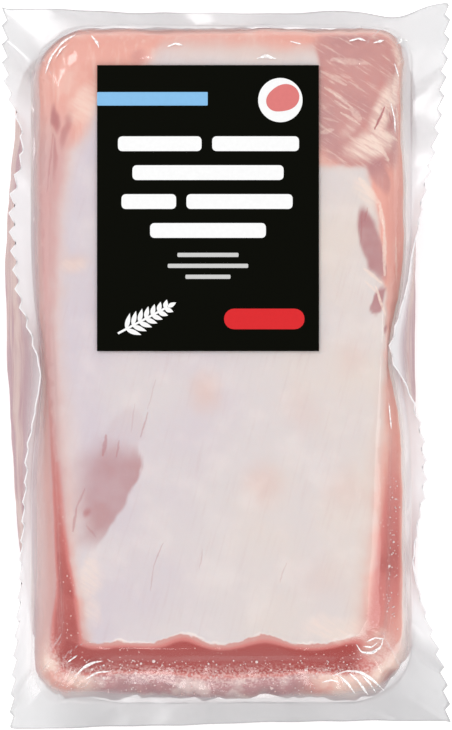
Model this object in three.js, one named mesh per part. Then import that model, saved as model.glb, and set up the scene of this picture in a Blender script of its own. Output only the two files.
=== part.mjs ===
// A boneless loin of pork sealed in a clear vacuum pack, lying flat with its label up.
// The pack was drawn down round the meat: a flat top face, a groove round it where the juice
// gathers, a thin seal all round at about two thirds of the height, and a belly below the seal.
// The two long cut edges of the seal are toothed, and the vacuum has pulled them in and up.
// Millimetres. X runs across the pack, Y along it, and Z up from the surface it lies on.
import * as THREE from "three";

// Driving dimensions
const PACK_LENGTH = 229;
const TOP_FACE_HEIGHT = 45; // at the rim of the top face
const TOP_FACE_CROWN = 2.3; // how much higher its middle is
const SEAL_HEIGHT = 31;
const SEAL_WIDTH = { side: 12, end: 5 };
const SEAL_THICKNESS = 0.8;
const TEETH = 38; // on each long edge
const TOOTH_DEPTH = 1.7;
const LABEL = { width: 69, length: 89, thickness: 0.4, gap: 0.3, x: -5.6, y: 48.8 };

const HALF_LENGTH = PACK_LENGTH / 2;
const HALF_WIDTH = 60; // where the ends of a ring are asked how long it is
const END_COLUMNS = 22; // across each short edge
const COLUMNS = 2 * (TEETH + END_COLUMNS);

// How far the vacuum moves a side at a place along it: depth at its middle, gone beyond its reach.
const pull = (along, at, depth, reach) => depth * Math.exp(-(((along - at) / reach) ** 2));

function smooth(from, to, value) {
  const t = THREE.MathUtils.clamp((value - from) / (to - from), 0, 1);
  return t * t * (3 - 2 * t);
}

function topFaceHeight(x, y) {
  const across = Math.max(0, 1 - (x / 53) ** 2);
  const along = Math.max(0, 1 - (y / 96) ** 2);
  return TOP_FACE_HEIGHT + TOP_FACE_CROWN * across * along;
}

// Each ring runs round the pack. Its four sides say how far they stand from the middle.
const RINGS = {
  rim: {
    left: (y) => 52.5 - 0.048 * Math.max(0, 20 - y) + pull(y, -3, 1.2, 25),
    right: (y) => 49.3 - 0.052 * Math.max(0, 10 - y),
    top: () => 96,
    bottom: () => 88,
    corner: 12,
    height: topFaceHeight,
  },
  shoulder: {
    left: (y) => 54.8 - 0.045 * Math.max(0, 10 - y),
    right: (y) => 52 - 0.025 * Math.max(0, 10 - y) - pull(y, 5, 1.6, 18),
    top: () => 101,
    bottom: () => 90.5,
    corner: 13,
    height: () => 41.5,
  },
  groove: {
    left: (y) => 57.3 - 0.055 * Math.max(0, 5 - y),
    right: (y) => 54.4 - 0.03 * Math.max(0, 15 - y) - pull(y, 5, 3, 18),
    top: () => 103.8,
    bottom: () => 93.6,
    corner: 14,
    height: (x, y) => 34.5 + 3.5 * smooth(88, 103, y),
  },
  lip: {
    left: (y) => 59.4 - pull(y, -3, 1.6, 22) - pull(y, -70, 1.4, 50),
    right: (y) => 56.2 - pull(y, 5, 4.4, 18),
    top: () => 105.2,
    bottom: (x) => 101.5 + 1.2 * Math.cos(x / 11),
    corner: 17,
    height: (x, y) => 35 - 1.5 * smooth(88, 103, y),
  },
  seal: {
    left: (y) => 61.3 - pull(y, -2, 3.2, 22),
    right: (y) => 58.4 - pull(y, 5, 4.5, 18),
    top: () => 106.8,
    bottom: () => 106.3,
    corner: 19,
    height: () => SEAL_HEIGHT,
  },
  edge: {
    left: (y) => 70.2 - pull(y, 69.5, 5.2, 13) - pull(y, -3.5, 5.7, 19) - pull(y, -31, 7, 80),
    right: (y) => 70.4 - pull(y, 16, 13.8, 53) - pull(y, 4, 6, 12) - pull(y, -64, 9.9, 26),
    top: (x) => 112.4 - pull(x, 0, 1.8, 40) - pull(x, 45, 2.4, 7) + 2 * smooth(45, 62, x),
    bottom: (x) => HALF_LENGTH - 2.4 * smooth(-60, 40, x),
    corner: 0.6,
    height: (x, y) => SEAL_HEIGHT + 0.9 * Math.cos(x / 9) * smooth(96, 110, Math.abs(y)),
  },
  underSeal: {
    left: (y) => 66.2 - 0.0006 * (y - 20) ** 2 - pull(y, -2, 1.5, 22),
    right: (y) => 59.8 - pull(y, 5, 2, 18),
    top: () => 107,
    bottom: () => 106.6,
    corner: 20,
    height: () => 26,
  },
  belly: {
    left: (y) => 70.9 - 0.0008 * (y - 20) ** 2,
    right: () => 61.1,
    top: () => 107.4,
    bottom: () => 107.4,
    corner: 24,
    height: () => 16,
  },
  flank: {
    left: (y) => 69.2 - 0.0008 * (y - 20) ** 2,
    right: () => 59.6,
    top: () => 105.6,
    bottom: () => 105.6,
    corner: 25,
    height: () => 6,
  },
  foot: {
    left: (y) => 60.5 - 0.0008 * (y - 20) ** 2,
    right: () => 52,
    top: () => 98,
    bottom: () => 98,
    corner: 23,
    height: () => 0,
  },
};

// The place on a unit square's outline of a column, counted anticlockwise from its lower right corner.
function direction(column) {
  const k = (column + COLUMNS) % COLUMNS;
  if (k < TEETH) return { sx: 1, sy: (2 * k) / TEETH - 1, long: true };
  if (k < TEETH + END_COLUMNS) return { sx: 1 - (2 * (k - TEETH)) / END_COLUMNS, sy: 1, long: false };
  const { sx, sy, long } = direction(k - COLUMNS / 2);
  return { sx: -sx, sy: -sy, long };
}

// A ring's point in a column. The sides that meet at a corner each take half of its arc.
function ringPoint(ring, column) {
  const { sx, sy, long } = direction(column);
  const halfLength = (sy > 0 ? ring.top : ring.bottom)(sx * HALF_WIDTH);
  const halfWidth = (sx > 0 ? ring.right : ring.left)(sy * halfLength);
  const reach = long ? halfLength : halfWidth;
  const along = Math.abs(long ? sy : sx) * reach;
  const intoArc = Math.max(0, along - (reach - ring.corner)) / ring.corner;
  const turn = (intoArc * Math.PI) / 4;
  const down = intoArc > 0 ? reach - ring.corner * (1 - Math.sin(turn)) : along;
  const across = (long ? halfWidth : halfLength) - ring.corner * (1 - Math.cos(turn));
  const x = Math.sign(sx) * (long ? across : down);
  const y = Math.sign(sy) * (long ? down : across);
  return new THREE.Vector3(x, y, ring.height(x, y));
}

// The seal at a column, as its two skins: at 0 it meets the pack's body and at 1 it is cut.
// The sealed strip keeps its width, so where the vacuum has pulled its edge in, it stands up.
function sealPoints(column, share, tooth = 0) {
  const inner = ringPoint(RINGS.seal, column);
  const outer = ringPoint(RINGS.edge, column);
  const width = direction(column).long ? SEAL_WIDTH.side : SEAL_WIDTH.end;
  const spread = Math.hypot(outer.x - inner.x, outer.y - inner.y) / width;
  outer.z += width * Math.max(0, 1 - spread) ** 0.75;
  const along = ringPoint(RINGS.edge, column + 0.5).sub(ringPoint(RINGS.edge, column - 0.5));
  const outward = outer.clone().sub(inner);
  const up = outward.clone().cross(along).normalize().multiplyScalar(SEAL_THICKNESS / 2);
  const middle = inner.clone().addScaledVector(outward, share);
  middle.addScaledVector(outward.normalize(), tooth);
  return { upper: middle.clone().add(up), lower: middle.sub(up) };
}

// A tooth's tip stands out at each column of a long side, and its valley lies halfway to the next.
function toothAt(halfColumn) {
  if (!direction(halfColumn / 2).long) return 0;
  return halfColumn % 2 === 0 ? TOOTH_DEPTH / 2 : -TOOTH_DEPTH / 2;
}

const ringOf = (make, count = COLUMNS) => Array.from({ length: count }, (_, k) => make(k));

// The rings of the whole skin, from the middle of the top face over the seal to the middle below.
function packRings() {
  const shared = (share) =>
    ringOf((k) => {
      const at = ringPoint(RINGS.rim, k).multiplyScalar(share);
      at.z = topFaceHeight(at.x, at.y);
      return at;
    });
  const curve = (names, share) =>
    ringOf((k) => {
      const stops = names.map((name) => ringPoint(RINGS[name], k));
      return new THREE.CatmullRomCurve3(stops, false, "centripetal").getPoint(share);
    });
  const overShoulder = ["rim", "shoulder", "groove", "lip"];
  const underBelly = ["underSeal", "belly", "flank", "foot"];
  const steps = (names, count) =>
    Array.from({ length: count + 1 }, (_, i) => curve(names, i / count));
  return [
    shared(0.3),
    shared(0.6),
    shared(0.85),
    ...steps(overShoulder, 7),
    ringOf((k) => sealPoints(k, 0).upper),
    ringOf((k) => sealPoints(k, 0.55).upper),
    ringOf((k) => sealPoints(k / 2, 1, toothAt(k)).upper, 2 * COLUMNS),
    ringOf((k) => sealPoints(k / 2, 1, toothAt(k)).lower, 2 * COLUMNS),
    ringOf((k) => sealPoints(k, 0.55).lower),
    ringOf((k) => sealPoints(k, 0).lower),
    ...steps(underBelly, 8),
    ringOf((k) => ringPoint(RINGS.foot, k).multiplyScalar(0.5)),
  ];
}

// Triangles between two rings, facing out. One ring may have twice the points of the other.
function stitch(index, inner, outer) {
  const fine = Math.max(inner.count, outer.count);
  for (let k = 0; k < fine; k++) {
    const next = (k + 1) % fine;
    const at = (ring, j) => ring.start + (ring.count === fine ? j : Math.round(j / 2) % ring.count);
    const [a, b, c, d] = [at(inner, k), at(outer, k), at(outer, next), at(inner, next)];
    if (b !== c) index.push(a, b, c);
    if (a !== d) index.push(a, c, d);
  }
}

// A closed skin through rings, with a point in the middle of its top and of its underside.
function lofted(rings, topPoint, bottomPoint) {
  const points = [topPoint, ...rings.flat(), bottomPoint];
  const index = [];
  let start = 1;
  const spans = rings.map((ring) => {
    const span = { start, count: ring.length };
    start += ring.length;
    return span;
  });
  spans.slice(1).forEach((outer, i) => stitch(index, spans[i], outer));
  const [first, last] = [spans[0], spans.at(-1)];
  for (let k = 0; k < first.count; k++) index.push(0, first.start + k, first.start + ((k + 1) % first.count));
  for (let k = 0; k < last.count; k++) index.push(start, last.start + ((k + 1) % last.count), last.start + k);
  return new THREE.BufferGeometry().setFromPoints(points).setIndex(index);
}

function sealedPack() {
  const top = new THREE.Vector3(0, 0, topFaceHeight(0, 0));
  const geometry = lofted(packRings(), top, new THREE.Vector3(0, 0, 0));
  const film = new THREE.MeshStandardMaterial({ color: 0xdcc6c6, roughness: 0.25, metalness: 0 });
  const mesh = new THREE.Mesh(geometry, film);
  mesh.name = "sealed_pack";
  return mesh;
}

// The label is a thin sheet bent to the top face, a hair above the film.
function label() {
  const columns = 10;
  const rows = 12;
  const geometry = new THREE.BoxGeometry(LABEL.width, LABEL.length, LABEL.thickness, columns, rows, 1);
  geometry.translate(LABEL.x, LABEL.y, LABEL.gap + LABEL.thickness / 2);
  const position = geometry.getAttribute("position");
  for (let i = 0; i < position.count; i++) {
    const rise = topFaceHeight(position.getX(i), position.getY(i));
    position.setZ(i, position.getZ(i) + rise);
  }
  const paper = new THREE.MeshStandardMaterial({ color: 0x12130c, roughness: 0.45, metalness: 0 });
  const mesh = new THREE.Mesh(geometry, paper);
  mesh.name = "label";
  return mesh;
}

const pack = new THREE.Group();
pack.add(sealedPack(), label());

// The origin is under the middle of the pack's outline.
const middle = new THREE.Box3().setFromObject(pack).getCenter(new THREE.Vector3());
pack.position.set(-middle.x, -middle.y, 0);

export default pack;
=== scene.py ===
"""A boneless pork loin sealed in a clear vacuum pack, lying flat with its label up.

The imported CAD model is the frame. Its two nodes, the sealed pack and the label, are replaced by
the meat, the film drawn tight over it, foam in the juice, and a printed label. All of them are
worked out from the same rings as the CAD model: closed lines round the pack, one inside the other
on the top face, over the shoulder and the groove, out to the toothed seal, and under the belly.
Ring sizes are in millimetres, and meshes in metres.
"""

import math
from types import SimpleNamespace

import bpy
import numpy as np
from bpy.props import FloatProperty, FloatVectorProperty, IntProperty, PointerProperty
from mathutils import Matrix, Vector


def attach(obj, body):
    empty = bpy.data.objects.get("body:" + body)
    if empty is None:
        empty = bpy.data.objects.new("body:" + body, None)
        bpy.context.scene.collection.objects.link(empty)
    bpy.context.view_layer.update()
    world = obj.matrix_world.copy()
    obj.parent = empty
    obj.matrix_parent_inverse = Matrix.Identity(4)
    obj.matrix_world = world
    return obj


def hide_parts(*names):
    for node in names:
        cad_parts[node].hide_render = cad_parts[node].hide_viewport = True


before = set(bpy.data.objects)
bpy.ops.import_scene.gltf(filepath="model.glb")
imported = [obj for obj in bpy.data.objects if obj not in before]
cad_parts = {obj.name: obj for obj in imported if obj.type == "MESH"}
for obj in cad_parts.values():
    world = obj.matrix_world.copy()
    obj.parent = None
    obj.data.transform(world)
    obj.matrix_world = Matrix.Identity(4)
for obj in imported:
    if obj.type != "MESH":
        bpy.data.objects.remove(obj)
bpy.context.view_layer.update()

bl_info = {
    "name": "Vacuum-Packed Pork Loin",
    "version": (1, 0, 0),
    "blender": (4, 5, 0),
    "location": "3D View > Sidebar > Loin Pack",
    "description": "Builds a pork loin in a clear vacuum pack, with its label and a small studio",
    "category": "Add Mesh",
}

MM = 0.001

# Driving dimensions in millimetres, as in the CAD model
PACK_LENGTH = 229
TOP_FACE_HEIGHT = 45
TOP_FACE_CROWN = 2.3
SEAL_HEIGHT = 31
SEAL_WIDTH = {"side": 12, "end": 5}
# How far the seal's inner side rises toward the lip, where the strip stands up and at the ends
WELD_RISE = 6
END_RISE = 2.5
# The corners at the top right and the low left are squarer than the CAD model's, by this factor
SQUARE_CORNER = 0.6
TEETH = 38
HALF_LENGTH = PACK_LENGTH / 2
HALF_WIDTH = 60
END_COLUMNS = 22
COLUMNS = 2 * (TEETH + END_COLUMNS)
RIGHT, TOP, LEFT, BOTTOM = 0, TEETH, TEETH + END_COLUMNS, 2 * TEETH + END_COLUMNS  # first columns

# How finely the skins are divided: columns for each tooth, and rows on the face, over the rim and
# the groove, and under the lip or the seal
FILM_STEPS, FILM_FACE_ROWS, FILM_OVER_ROWS, FILM_UNDER_ROWS = 6, 30, 44, 28
MEAT_STEPS, MEAT_FACE_ROWS, MEAT_OVER_ROWS, MEAT_UNDER_ROWS = 5, 72, 40, 35
FOLD_STEPS = 24

# Seeds of the random values. A patch or the leaf uses four in a row.
SEEDS = SimpleNamespace(
    lumps=3, fine_lumps=4, fibres=5, ragged=6, pleats=8, swell=21, dimples=22, torn=31, torn_fine=32,
    marbled=41, warm=45, window=49, cream=53, mark=57, leaf=61, wrinkles=11, foam=5,
)


def colour(name, description, red, green, blue):
    """A colour that a user may change, as it looks on a screen, from 0 to 255."""
    return FloatVectorProperty(
        name=name,
        description=description,
        subtype="COLOR_GAMMA",
        size=3,
        min=0,
        max=1,
        default=(red / 255, green / 255, blue / 255),
    )


def length(name, description, millimetres):
    """A length that a user may change."""
    return FloatProperty(
        name=name,
        description=description,
        default=millimetres * MM,
        min=0,
        subtype="DISTANCE",
        unit="LENGTH",
    )


class PackSizes(bpy.types.PropertyGroup):
    """Sizes of the film, the meat and the label"""

    film_gap: length("Film gap", "Room between the film and the meat", 0.6)
    seal_thickness: length("Seal thickness", "Thickness of the two welded films", 0.45)
    tooth_depth: length("Tooth depth", "Depth of the teeth of the cut edge", 2.2)
    wrinkle_height: length("Wrinkle height", "Height of the film's largest wrinkles", 0.75)
    relief_depth: length("Relief depth", "How far the meat's fibres and folds stand out", 0.45)
    label_width: length("Label width", "Width of the label", 69)
    label_length: length("Label length", "Length of the label", 89)
    label_thickness: length("Label thickness", "Thickness of the label", 0.3)
    label_gap: length("Label gap", "Height of the label's underside above the rings", 0.3)
    label_x: FloatProperty(
        name="Label X",
        description="Middle of the label across the pack",
        default=-5.6 * MM,
        subtype="DISTANCE",
        unit="LENGTH",
    )
    label_y: FloatProperty(
        name="Label Y",
        description="Middle of the label along the pack",
        default=48.8 * MM,
        subtype="DISTANCE",
        unit="LENGTH",
    )
    foam_beads: IntProperty(name="Foam beads", description="Number of beads of foam", default=420, min=0)


class PackColours(bpy.types.PropertyGroup):
    """Colours of the meat, the film and the print"""

    skin_cool: colour("Cool silverskin", "Lilac skin, on the left", 204, 192, 199)
    skin: colour("Silverskin", "White skin over the loin", 211, 201, 200)
    skin_cream: colour("Cream silverskin", "Creamy skin, on the right", 218, 204, 195)
    skin_warm: colour("Warm silverskin", "Peach places in the skin", 214, 185, 176)
    hem: colour("Hem", "Torn low border of the skin", 240, 228, 222)
    fat: colour("Fat", "Streaks and seams of fat", 238, 214, 200)
    lean: colour("Lean", "Salmon lean at the shoulder", 224, 160, 146)
    rose: colour("Rose lean", "Mauve lean at the marbled end", 194, 138, 133)
    mauve: colour("Mauve", "Lean seen through the skin", 174, 119, 121)
    blood: colour("Blood", "Lean where some juice stands", 202, 110, 103)
    juice: colour("Juice", "Lean soaked in juice", 160, 40, 31)
    crease: colour("Crease", "Slits and creases", 172, 100, 102)
    lip: colour("Lip", "Pale lip outside the groove", 206, 162, 156)
    lip_mauve: colour("Mauve lip", "Lip at the low end", 176, 122, 126)
    belly: colour("Belly", "Lilac lean of the belly", 170, 128, 136)
    cream: colour("Cream", "Cream fat of the belly", 200, 172, 166)
    foam: colour("Foam", "Bubbles in the juice", 243, 220, 214)
    label: colour("Label", "Ground of the label", 16, 17, 11)
    print_white: colour("White print", "White bars and disc", 250, 250, 250)
    print_grey: colour("Grey print", "Small bars", 205, 205, 203)
    print_red: colour("Red print", "Red field", 220, 8, 20)
    print_blue: colour("Blue print", "Blue band", 130, 189, 234)
    print_pink: colour("Pink print", "Slice of meat on the disc", 222, 120, 118)
    floor: colour("Floor", "Surface that the pack lies on", 247, 247, 247)


def pull(along, at, depth, reach):
    """How far the vacuum moves a side at a place along it."""
    return depth * np.exp(-(((along - at) / reach) ** 2))


def smooth(start, end, value):
    """A soft step from 0 at start to 1 at end."""
    t = np.clip((value - start) / (end - start), 0, 1)
    return t * t * (3 - 2 * t)


def top_face_height(x, y):
    across = np.maximum(0, 1 - (x / 53) ** 2)
    along = np.maximum(0, 1 - (y / 96) ** 2)
    return TOP_FACE_HEIGHT + TOP_FACE_CROWN * across * along


# Each ring's sides say how far they stand from the middle. The groove is shallower than in the CAD
# model, as juice lies in it under the film.
RINGS = {
    "brow": SimpleNamespace(
        left=lambda y: RINGS["rim"].left(y) - 4,
        right=lambda y: RINGS["rim"].right(y) - 4,
        top=lambda x: 92,
        bottom=lambda x: 84,
        corner=10,
        height=top_face_height,
    ),
    "rim": SimpleNamespace(
        left=lambda y: 52.5 - 0.048 * np.maximum(0, 20 - y) + pull(y, -3, 1.2, 25),
        right=lambda y: 49.3 - 0.052 * np.maximum(0, 10 - y),
        top=lambda x: 96,
        bottom=lambda x: 88,
        corner=12,
        height=top_face_height,
    ),
    "shoulder": SimpleNamespace(
        left=lambda y: 54.8 - 0.045 * np.maximum(0, 10 - y),
        right=lambda y: 52 - 0.025 * np.maximum(0, 10 - y) - pull(y, 5, 1.6, 18),
        top=lambda x: 101,
        bottom=lambda x: 90.5,
        corner=13,
        height=lambda x, y: 43.6,
    ),
    "groove": SimpleNamespace(
        left=lambda y: 57.3 - 0.055 * np.maximum(0, 5 - y),
        right=lambda y: 54.4 - 0.03 * np.maximum(0, 15 - y) - pull(y, 5, 3, 18),
        top=lambda x: 103.8,
        bottom=lambda x: 93.6,
        corner=14,
        square=SQUARE_CORNER,
        height=lambda x, y: 40.6 + 0.5 * smooth(88, 103, y),
    ),
    "lip": SimpleNamespace(
        left=lambda y: 59.4 - pull(y, -3, 1.6, 22) - pull(y, -70, 1.4, 50),
        right=lambda y: 56.2 - pull(y, 5, 4.4, 18),
        top=lambda x: 105.2,
        bottom=lambda x: 101.5 + 1.2 * np.cos(x / 11),
        corner=17,
        square=SQUARE_CORNER,
        height=lambda x, y: 37.4 - 2 * smooth(88, 103, y),
    ),
    "seal": SimpleNamespace(
        left=lambda y: 61.3 - pull(y, -2, 3.2, 22),
        right=lambda y: 58.4 - pull(y, 5, 4.5, 18),
        top=lambda x: 106.8,
        bottom=lambda x: 106.3,
        corner=19,
        square=SQUARE_CORNER,
        height=lambda x, y: SEAL_HEIGHT,
    ),
    "edge": SimpleNamespace(
        left=lambda y: 70.2 - pull(y, 69.5, 5.2, 13) - pull(y, -3.5, 5.7, 19) - pull(y, -31, 7, 80),
        right=lambda y: 70.4 - pull(y, 16, 13.8, 53) - pull(y, 4, 6, 12) - pull(y, -64, 9.9, 26),
        top=lambda x: 112.4 - pull(x, 0, 1.8, 40) - pull(x, 45, 2.4, 7) + 2 * smooth(45, 62, x),
        bottom=lambda x: HALF_LENGTH - 2.4 * smooth(-60, 40, x),
        corner=0.6,
        height=lambda x, y: SEAL_HEIGHT + 0.9 * np.cos(x / 9) * smooth(96, 110, np.abs(y)),
    ),
    "under_seal": SimpleNamespace(
        left=lambda y: 66.2 - 0.0006 * (y - 20) ** 2 - pull(y, -2, 1.5, 22),
        right=lambda y: 59.8 - pull(y, 5, 2, 18),
        top=lambda x: 107,
        bottom=lambda x: 106.6,
        corner=20,
        height=lambda x, y: 26,
    ),
    "belly": SimpleNamespace(
        left=lambda y: 70.9 - 0.0008 * (y - 20) ** 2,
        right=lambda y: 61.1,
        top=lambda x: 107.4,
        bottom=lambda x: 107.4,
        corner=24,
        height=lambda x, y: 16,
    ),
    "flank": SimpleNamespace(
        left=lambda y: 69.2 - 0.0008 * (y - 20) ** 2,
        right=lambda y: 59.6,
        top=lambda x: 105.6,
        bottom=lambda x: 105.6,
        corner=25,
        height=lambda x, y: 6,
    ),
    "foot": SimpleNamespace(
        left=lambda y: 60.5 - 0.0008 * (y - 20) ** 2,
        right=lambda y: 52,
        top=lambda x: 98,
        bottom=lambda x: 98,
        corner=23,
        height=lambda x, y: 0,
    ),
}


def direction(column):
    """Places on a unit square's outline, anticlockwise from low right, and whether on a long side."""
    k = np.mod(column, COLUMNS)
    turned = k >= COLUMNS / 2
    k = np.where(turned, k - COLUMNS / 2, k)
    long = k < TEETH
    sign = np.where(turned, -1, 1)
    sx = sign * np.where(long, 1, 1 - 2 * (k - TEETH) / END_COLUMNS)
    sy = sign * np.where(long, 2 * k / TEETH - 1, 1)
    return sx, sy, long


def ring_points(ring, column):
    """A ring's points in columns. The sides that meet at a corner each take half of its arc."""
    sx, sy, long = direction(column)
    half_length = np.where(sy > 0, ring.top(sx * HALF_WIDTH), ring.bottom(sx * HALF_WIDTH))
    half_width = np.where(sx > 0, ring.right(sy * half_length), ring.left(sy * half_length))
    reach = np.where(long, half_length, half_width)
    along = np.abs(np.where(long, sy, sx)) * reach
    corner = ring.corner * np.where(sx * sy > 0, getattr(ring, "square", 1), 1)
    into_arc = np.maximum(0, along - (reach - corner)) / corner
    turn = into_arc * np.pi / 4
    down = np.where(into_arc > 0, reach - corner * (1 - np.sin(turn)), along)
    across = np.where(long, half_width, half_length) - corner * (1 - np.cos(turn))
    x = np.sign(sx) * np.where(long, across, down)
    y = np.sign(sy) * np.where(long, down, across)
    return np.stack([x, y, ring.height(x, y) + 0 * x], axis=-1)


def curve_through(names, column, share):
    """Points at a share of the way along the round curve through several rings."""
    stops = [ring_points(RINGS[name], column) for name in names]
    last = len(stops) - 1
    i = min(int(share * last), last - 1)
    t = share * last - i
    before = stops[i - 1] if i > 0 else 2 * stops[0] - stops[1]
    after = stops[i + 2] if i + 2 <= last else 2 * stops[last] - stops[last - 1]
    a, b = stops[i], stops[i + 1]
    spans = (a - before, b - a, after - b)
    step = [np.sqrt(np.linalg.norm(span, axis=-1, keepdims=True)) for span in spans]
    leave = (a - before) / step[0] - (b - before) / (step[0] + step[1]) + (b - a) / step[1]
    arrive = (b - a) / step[1] - (after - a) / (step[1] + step[2]) + (after - b) / step[2]
    leave, arrive = leave * step[1], arrive * step[1]
    bend = -3 * a + 3 * b - 2 * leave - arrive
    return a + leave * t + bend * t**2 + (2 * a - 2 * b + leave + arrive) * t**3


def seal_points(column, share, tooth_depth):
    """The middle of the seal strip, and which way is up. Where its edge is pulled in, it stands up."""
    inner = ring_points(RINGS["seal"], column)
    outer = ring_points(RINGS["edge"], column)
    _, sy, long = direction(column)
    width = np.where(long, SEAL_WIDTH["side"], SEAL_WIDTH["end"])
    spread = np.hypot(*(outer - inner)[:, :2].T) / width
    outer[:, 2] += width * np.maximum(0, 1 - spread) ** 0.75
    at_end = np.where(long, smooth(0.75, 1, np.abs(sy)), 1)
    inner[:, 2] += np.maximum(WELD_RISE * smooth(1.0, 0.6, spread), END_RISE * at_end)
    along = ring_points(RINGS["edge"], column + 0.5) - ring_points(RINGS["edge"], column - 0.5)
    outward = outer - inner
    up = np.cross(outward, along)
    up /= np.linalg.norm(up, axis=1, keepdims=True)
    outward_unit = outward / np.linalg.norm(outward, axis=1, keepdims=True)
    to_tip = np.abs(column - np.round(column))
    tooth = np.where(long, tooth_depth / 2 * (1 - 4 * to_tip), 0) * smooth(0.85, 1, share)
    return inner + outward * share + outward_unit * tooth[:, None], up


def noise(points, lump, seed):
    """Smooth random values from -1 to 1, with lumps of about the given size along X, Y and Z."""
    cells = 48
    lattice = np.random.default_rng(seed).uniform(-1, 1, (cells,) * 3)
    place = points / np.array(lump, float)
    low = np.floor(place).astype(int)
    f = place - low
    f = f * f * (3 - 2 * f)
    total = 0
    for corner in np.ndindex(2, 2, 2):
        index = np.mod(low + np.array(corner), cells)
        weight = np.prod(np.where(np.array(corner) == 1, f, 1 - f), axis=-1)
        total = total + weight * lattice[index[..., 0], index[..., 1], index[..., 2]]
    return total


def skin_normals(points):
    """Outward directions of a skin whose rows run outward and whose columns run anticlockwise."""
    down = np.gradient(points, axis=0)
    around = np.roll(points, -1, axis=1) - np.roll(points, 1, axis=1)
    normal = np.cross(down, around)
    size = np.linalg.norm(normal, axis=-1, keepdims=True)
    flat = np.where(points[..., 2:] > TOP_FACE_HEIGHT / 2, 1, -1) * np.array([0, 0, 1.0])
    return np.where(size > 1e-6, normal / np.maximum(size, 1e-9), flat)


def face_shares(count):
    """Shares of the way from the middle to the brow, closer together near the brow."""
    return 1 - (1 - np.arange(count) / count) ** 1.3


def face_row(column, share):
    row = ring_points(RINGS["brow"], column) * share
    row[:, 2] = top_face_height(row[:, 0], row[:, 1])
    return row


def over_rows(column, count):
    """The film's way from the brow over the shoulder to the lip, and how far along each row is."""
    over = ["brow", "rim", "shoulder", "groove", "lip"]
    shares = [i / count for i in range(count)]
    return [(curve_through(over, column, share), max(1, 1 + (4 * share - 1) / 3)) for share in shares]


def outline_middle():
    """The middle of the pack's outline, which the CAD model puts over the origin."""
    column = np.arange(2 * COLUMNS) / 2
    edge, _ = seal_points(column, 1, 1.7)
    sides = np.concatenate([edge, curve_through(["under_seal", "belly", "flank", "foot"], column, 0.375)])
    middle = (sides.min(axis=0) + sides.max(axis=0)) / 2
    return np.array([middle[0], middle[1], 0])


MIDDLE = outline_middle()


def in_place(points):
    """Ring millimetres to metres in the frame."""
    return (points - MIDDLE) * MM


def start_fresh():
    """Nothing selected, in object mode."""
    if bpy.context.object and bpy.context.object.mode != "OBJECT":
        bpy.ops.object.mode_set(mode="OBJECT")
    bpy.ops.object.select_all(action="DESELECT")


def named(name):
    piece = bpy.context.object
    piece.name = name
    piece.data.name = name
    return piece


def wrapped_skin(name, points, masks):
    """A grid wrapped round the pack: its ends meet, and its first and last rows close to points."""
    rows, columns = points.shape[:2]
    start_fresh()
    bpy.ops.mesh.primitive_grid_add(x_subdivisions=columns, y_subdivisions=rows - 1, size=1)
    piece = named(name)
    ring_closed = np.concatenate([points, points[:, :1]], axis=1)
    piece.data.vertices.foreach_set("co", in_place(ring_closed).astype(np.float32).ravel())
    for mask, values in masks.items():
        attribute = piece.data.attributes.new(mask, "FLOAT", "POINT")
        values = np.broadcast_to(values, (rows, columns))
        values = np.concatenate([values, values[:, :1]], axis=1)
        attribute.data.foreach_set("value", values.astype(np.float32).ravel())
    bpy.ops.object.mode_set(mode="EDIT")
    bpy.ops.mesh.select_all(action="SELECT")
    bpy.ops.mesh.remove_doubles(threshold=1e-6)
    bpy.ops.mesh.normals_make_consistent(inside=False)
    bpy.ops.object.mode_set(mode="OBJECT")
    bpy.ops.object.shade_smooth()
    return piece


def in_frame(piece, material, slot, *nodes):
    """Gives a finished piece its material, its body and the nodes that it stands for."""
    piece.data.materials.clear()
    piece.data.materials.append(material)
    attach(piece, "root")
    if nodes:
        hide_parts(*nodes)


def unevenness(points):
    """How far the pressed meat stands out or in, in millimetres, so that its film follows it."""
    z = points[..., 2]
    free = smooth(0.5, 3.5, np.abs(z - SEAL_HEIGHT)) * smooth(0, 6, z) * (1 - 0.65 * smooth(37, 41, z))
    swell = noise(points, (15, 19, 13), SEEDS.swell)
    return free * (0.75 * swell + 0.4 * noise(points, (5.5, 8, 6), SEEDS.dimples))


# The meat's marks, in ring millimetres seen from above.
# A patch is x, y, half length, half width, lean of its length from Y in degrees, and strength.
WINDOWS = [
    (-31.5, -21.0, 9, 5.5, -20, 0.12),
    (45.6, 37.5, 12.2, 3.4, 15, 1.0),
    (47.6, 20.0, 4.6, 1.9, -28, 0.95),
    (50.2, 11.6, 2.0, 0.9, -30, 0.8),
    (47.8, 59.0, 6.5, 2.8, 25, 0.6),
]
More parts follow.
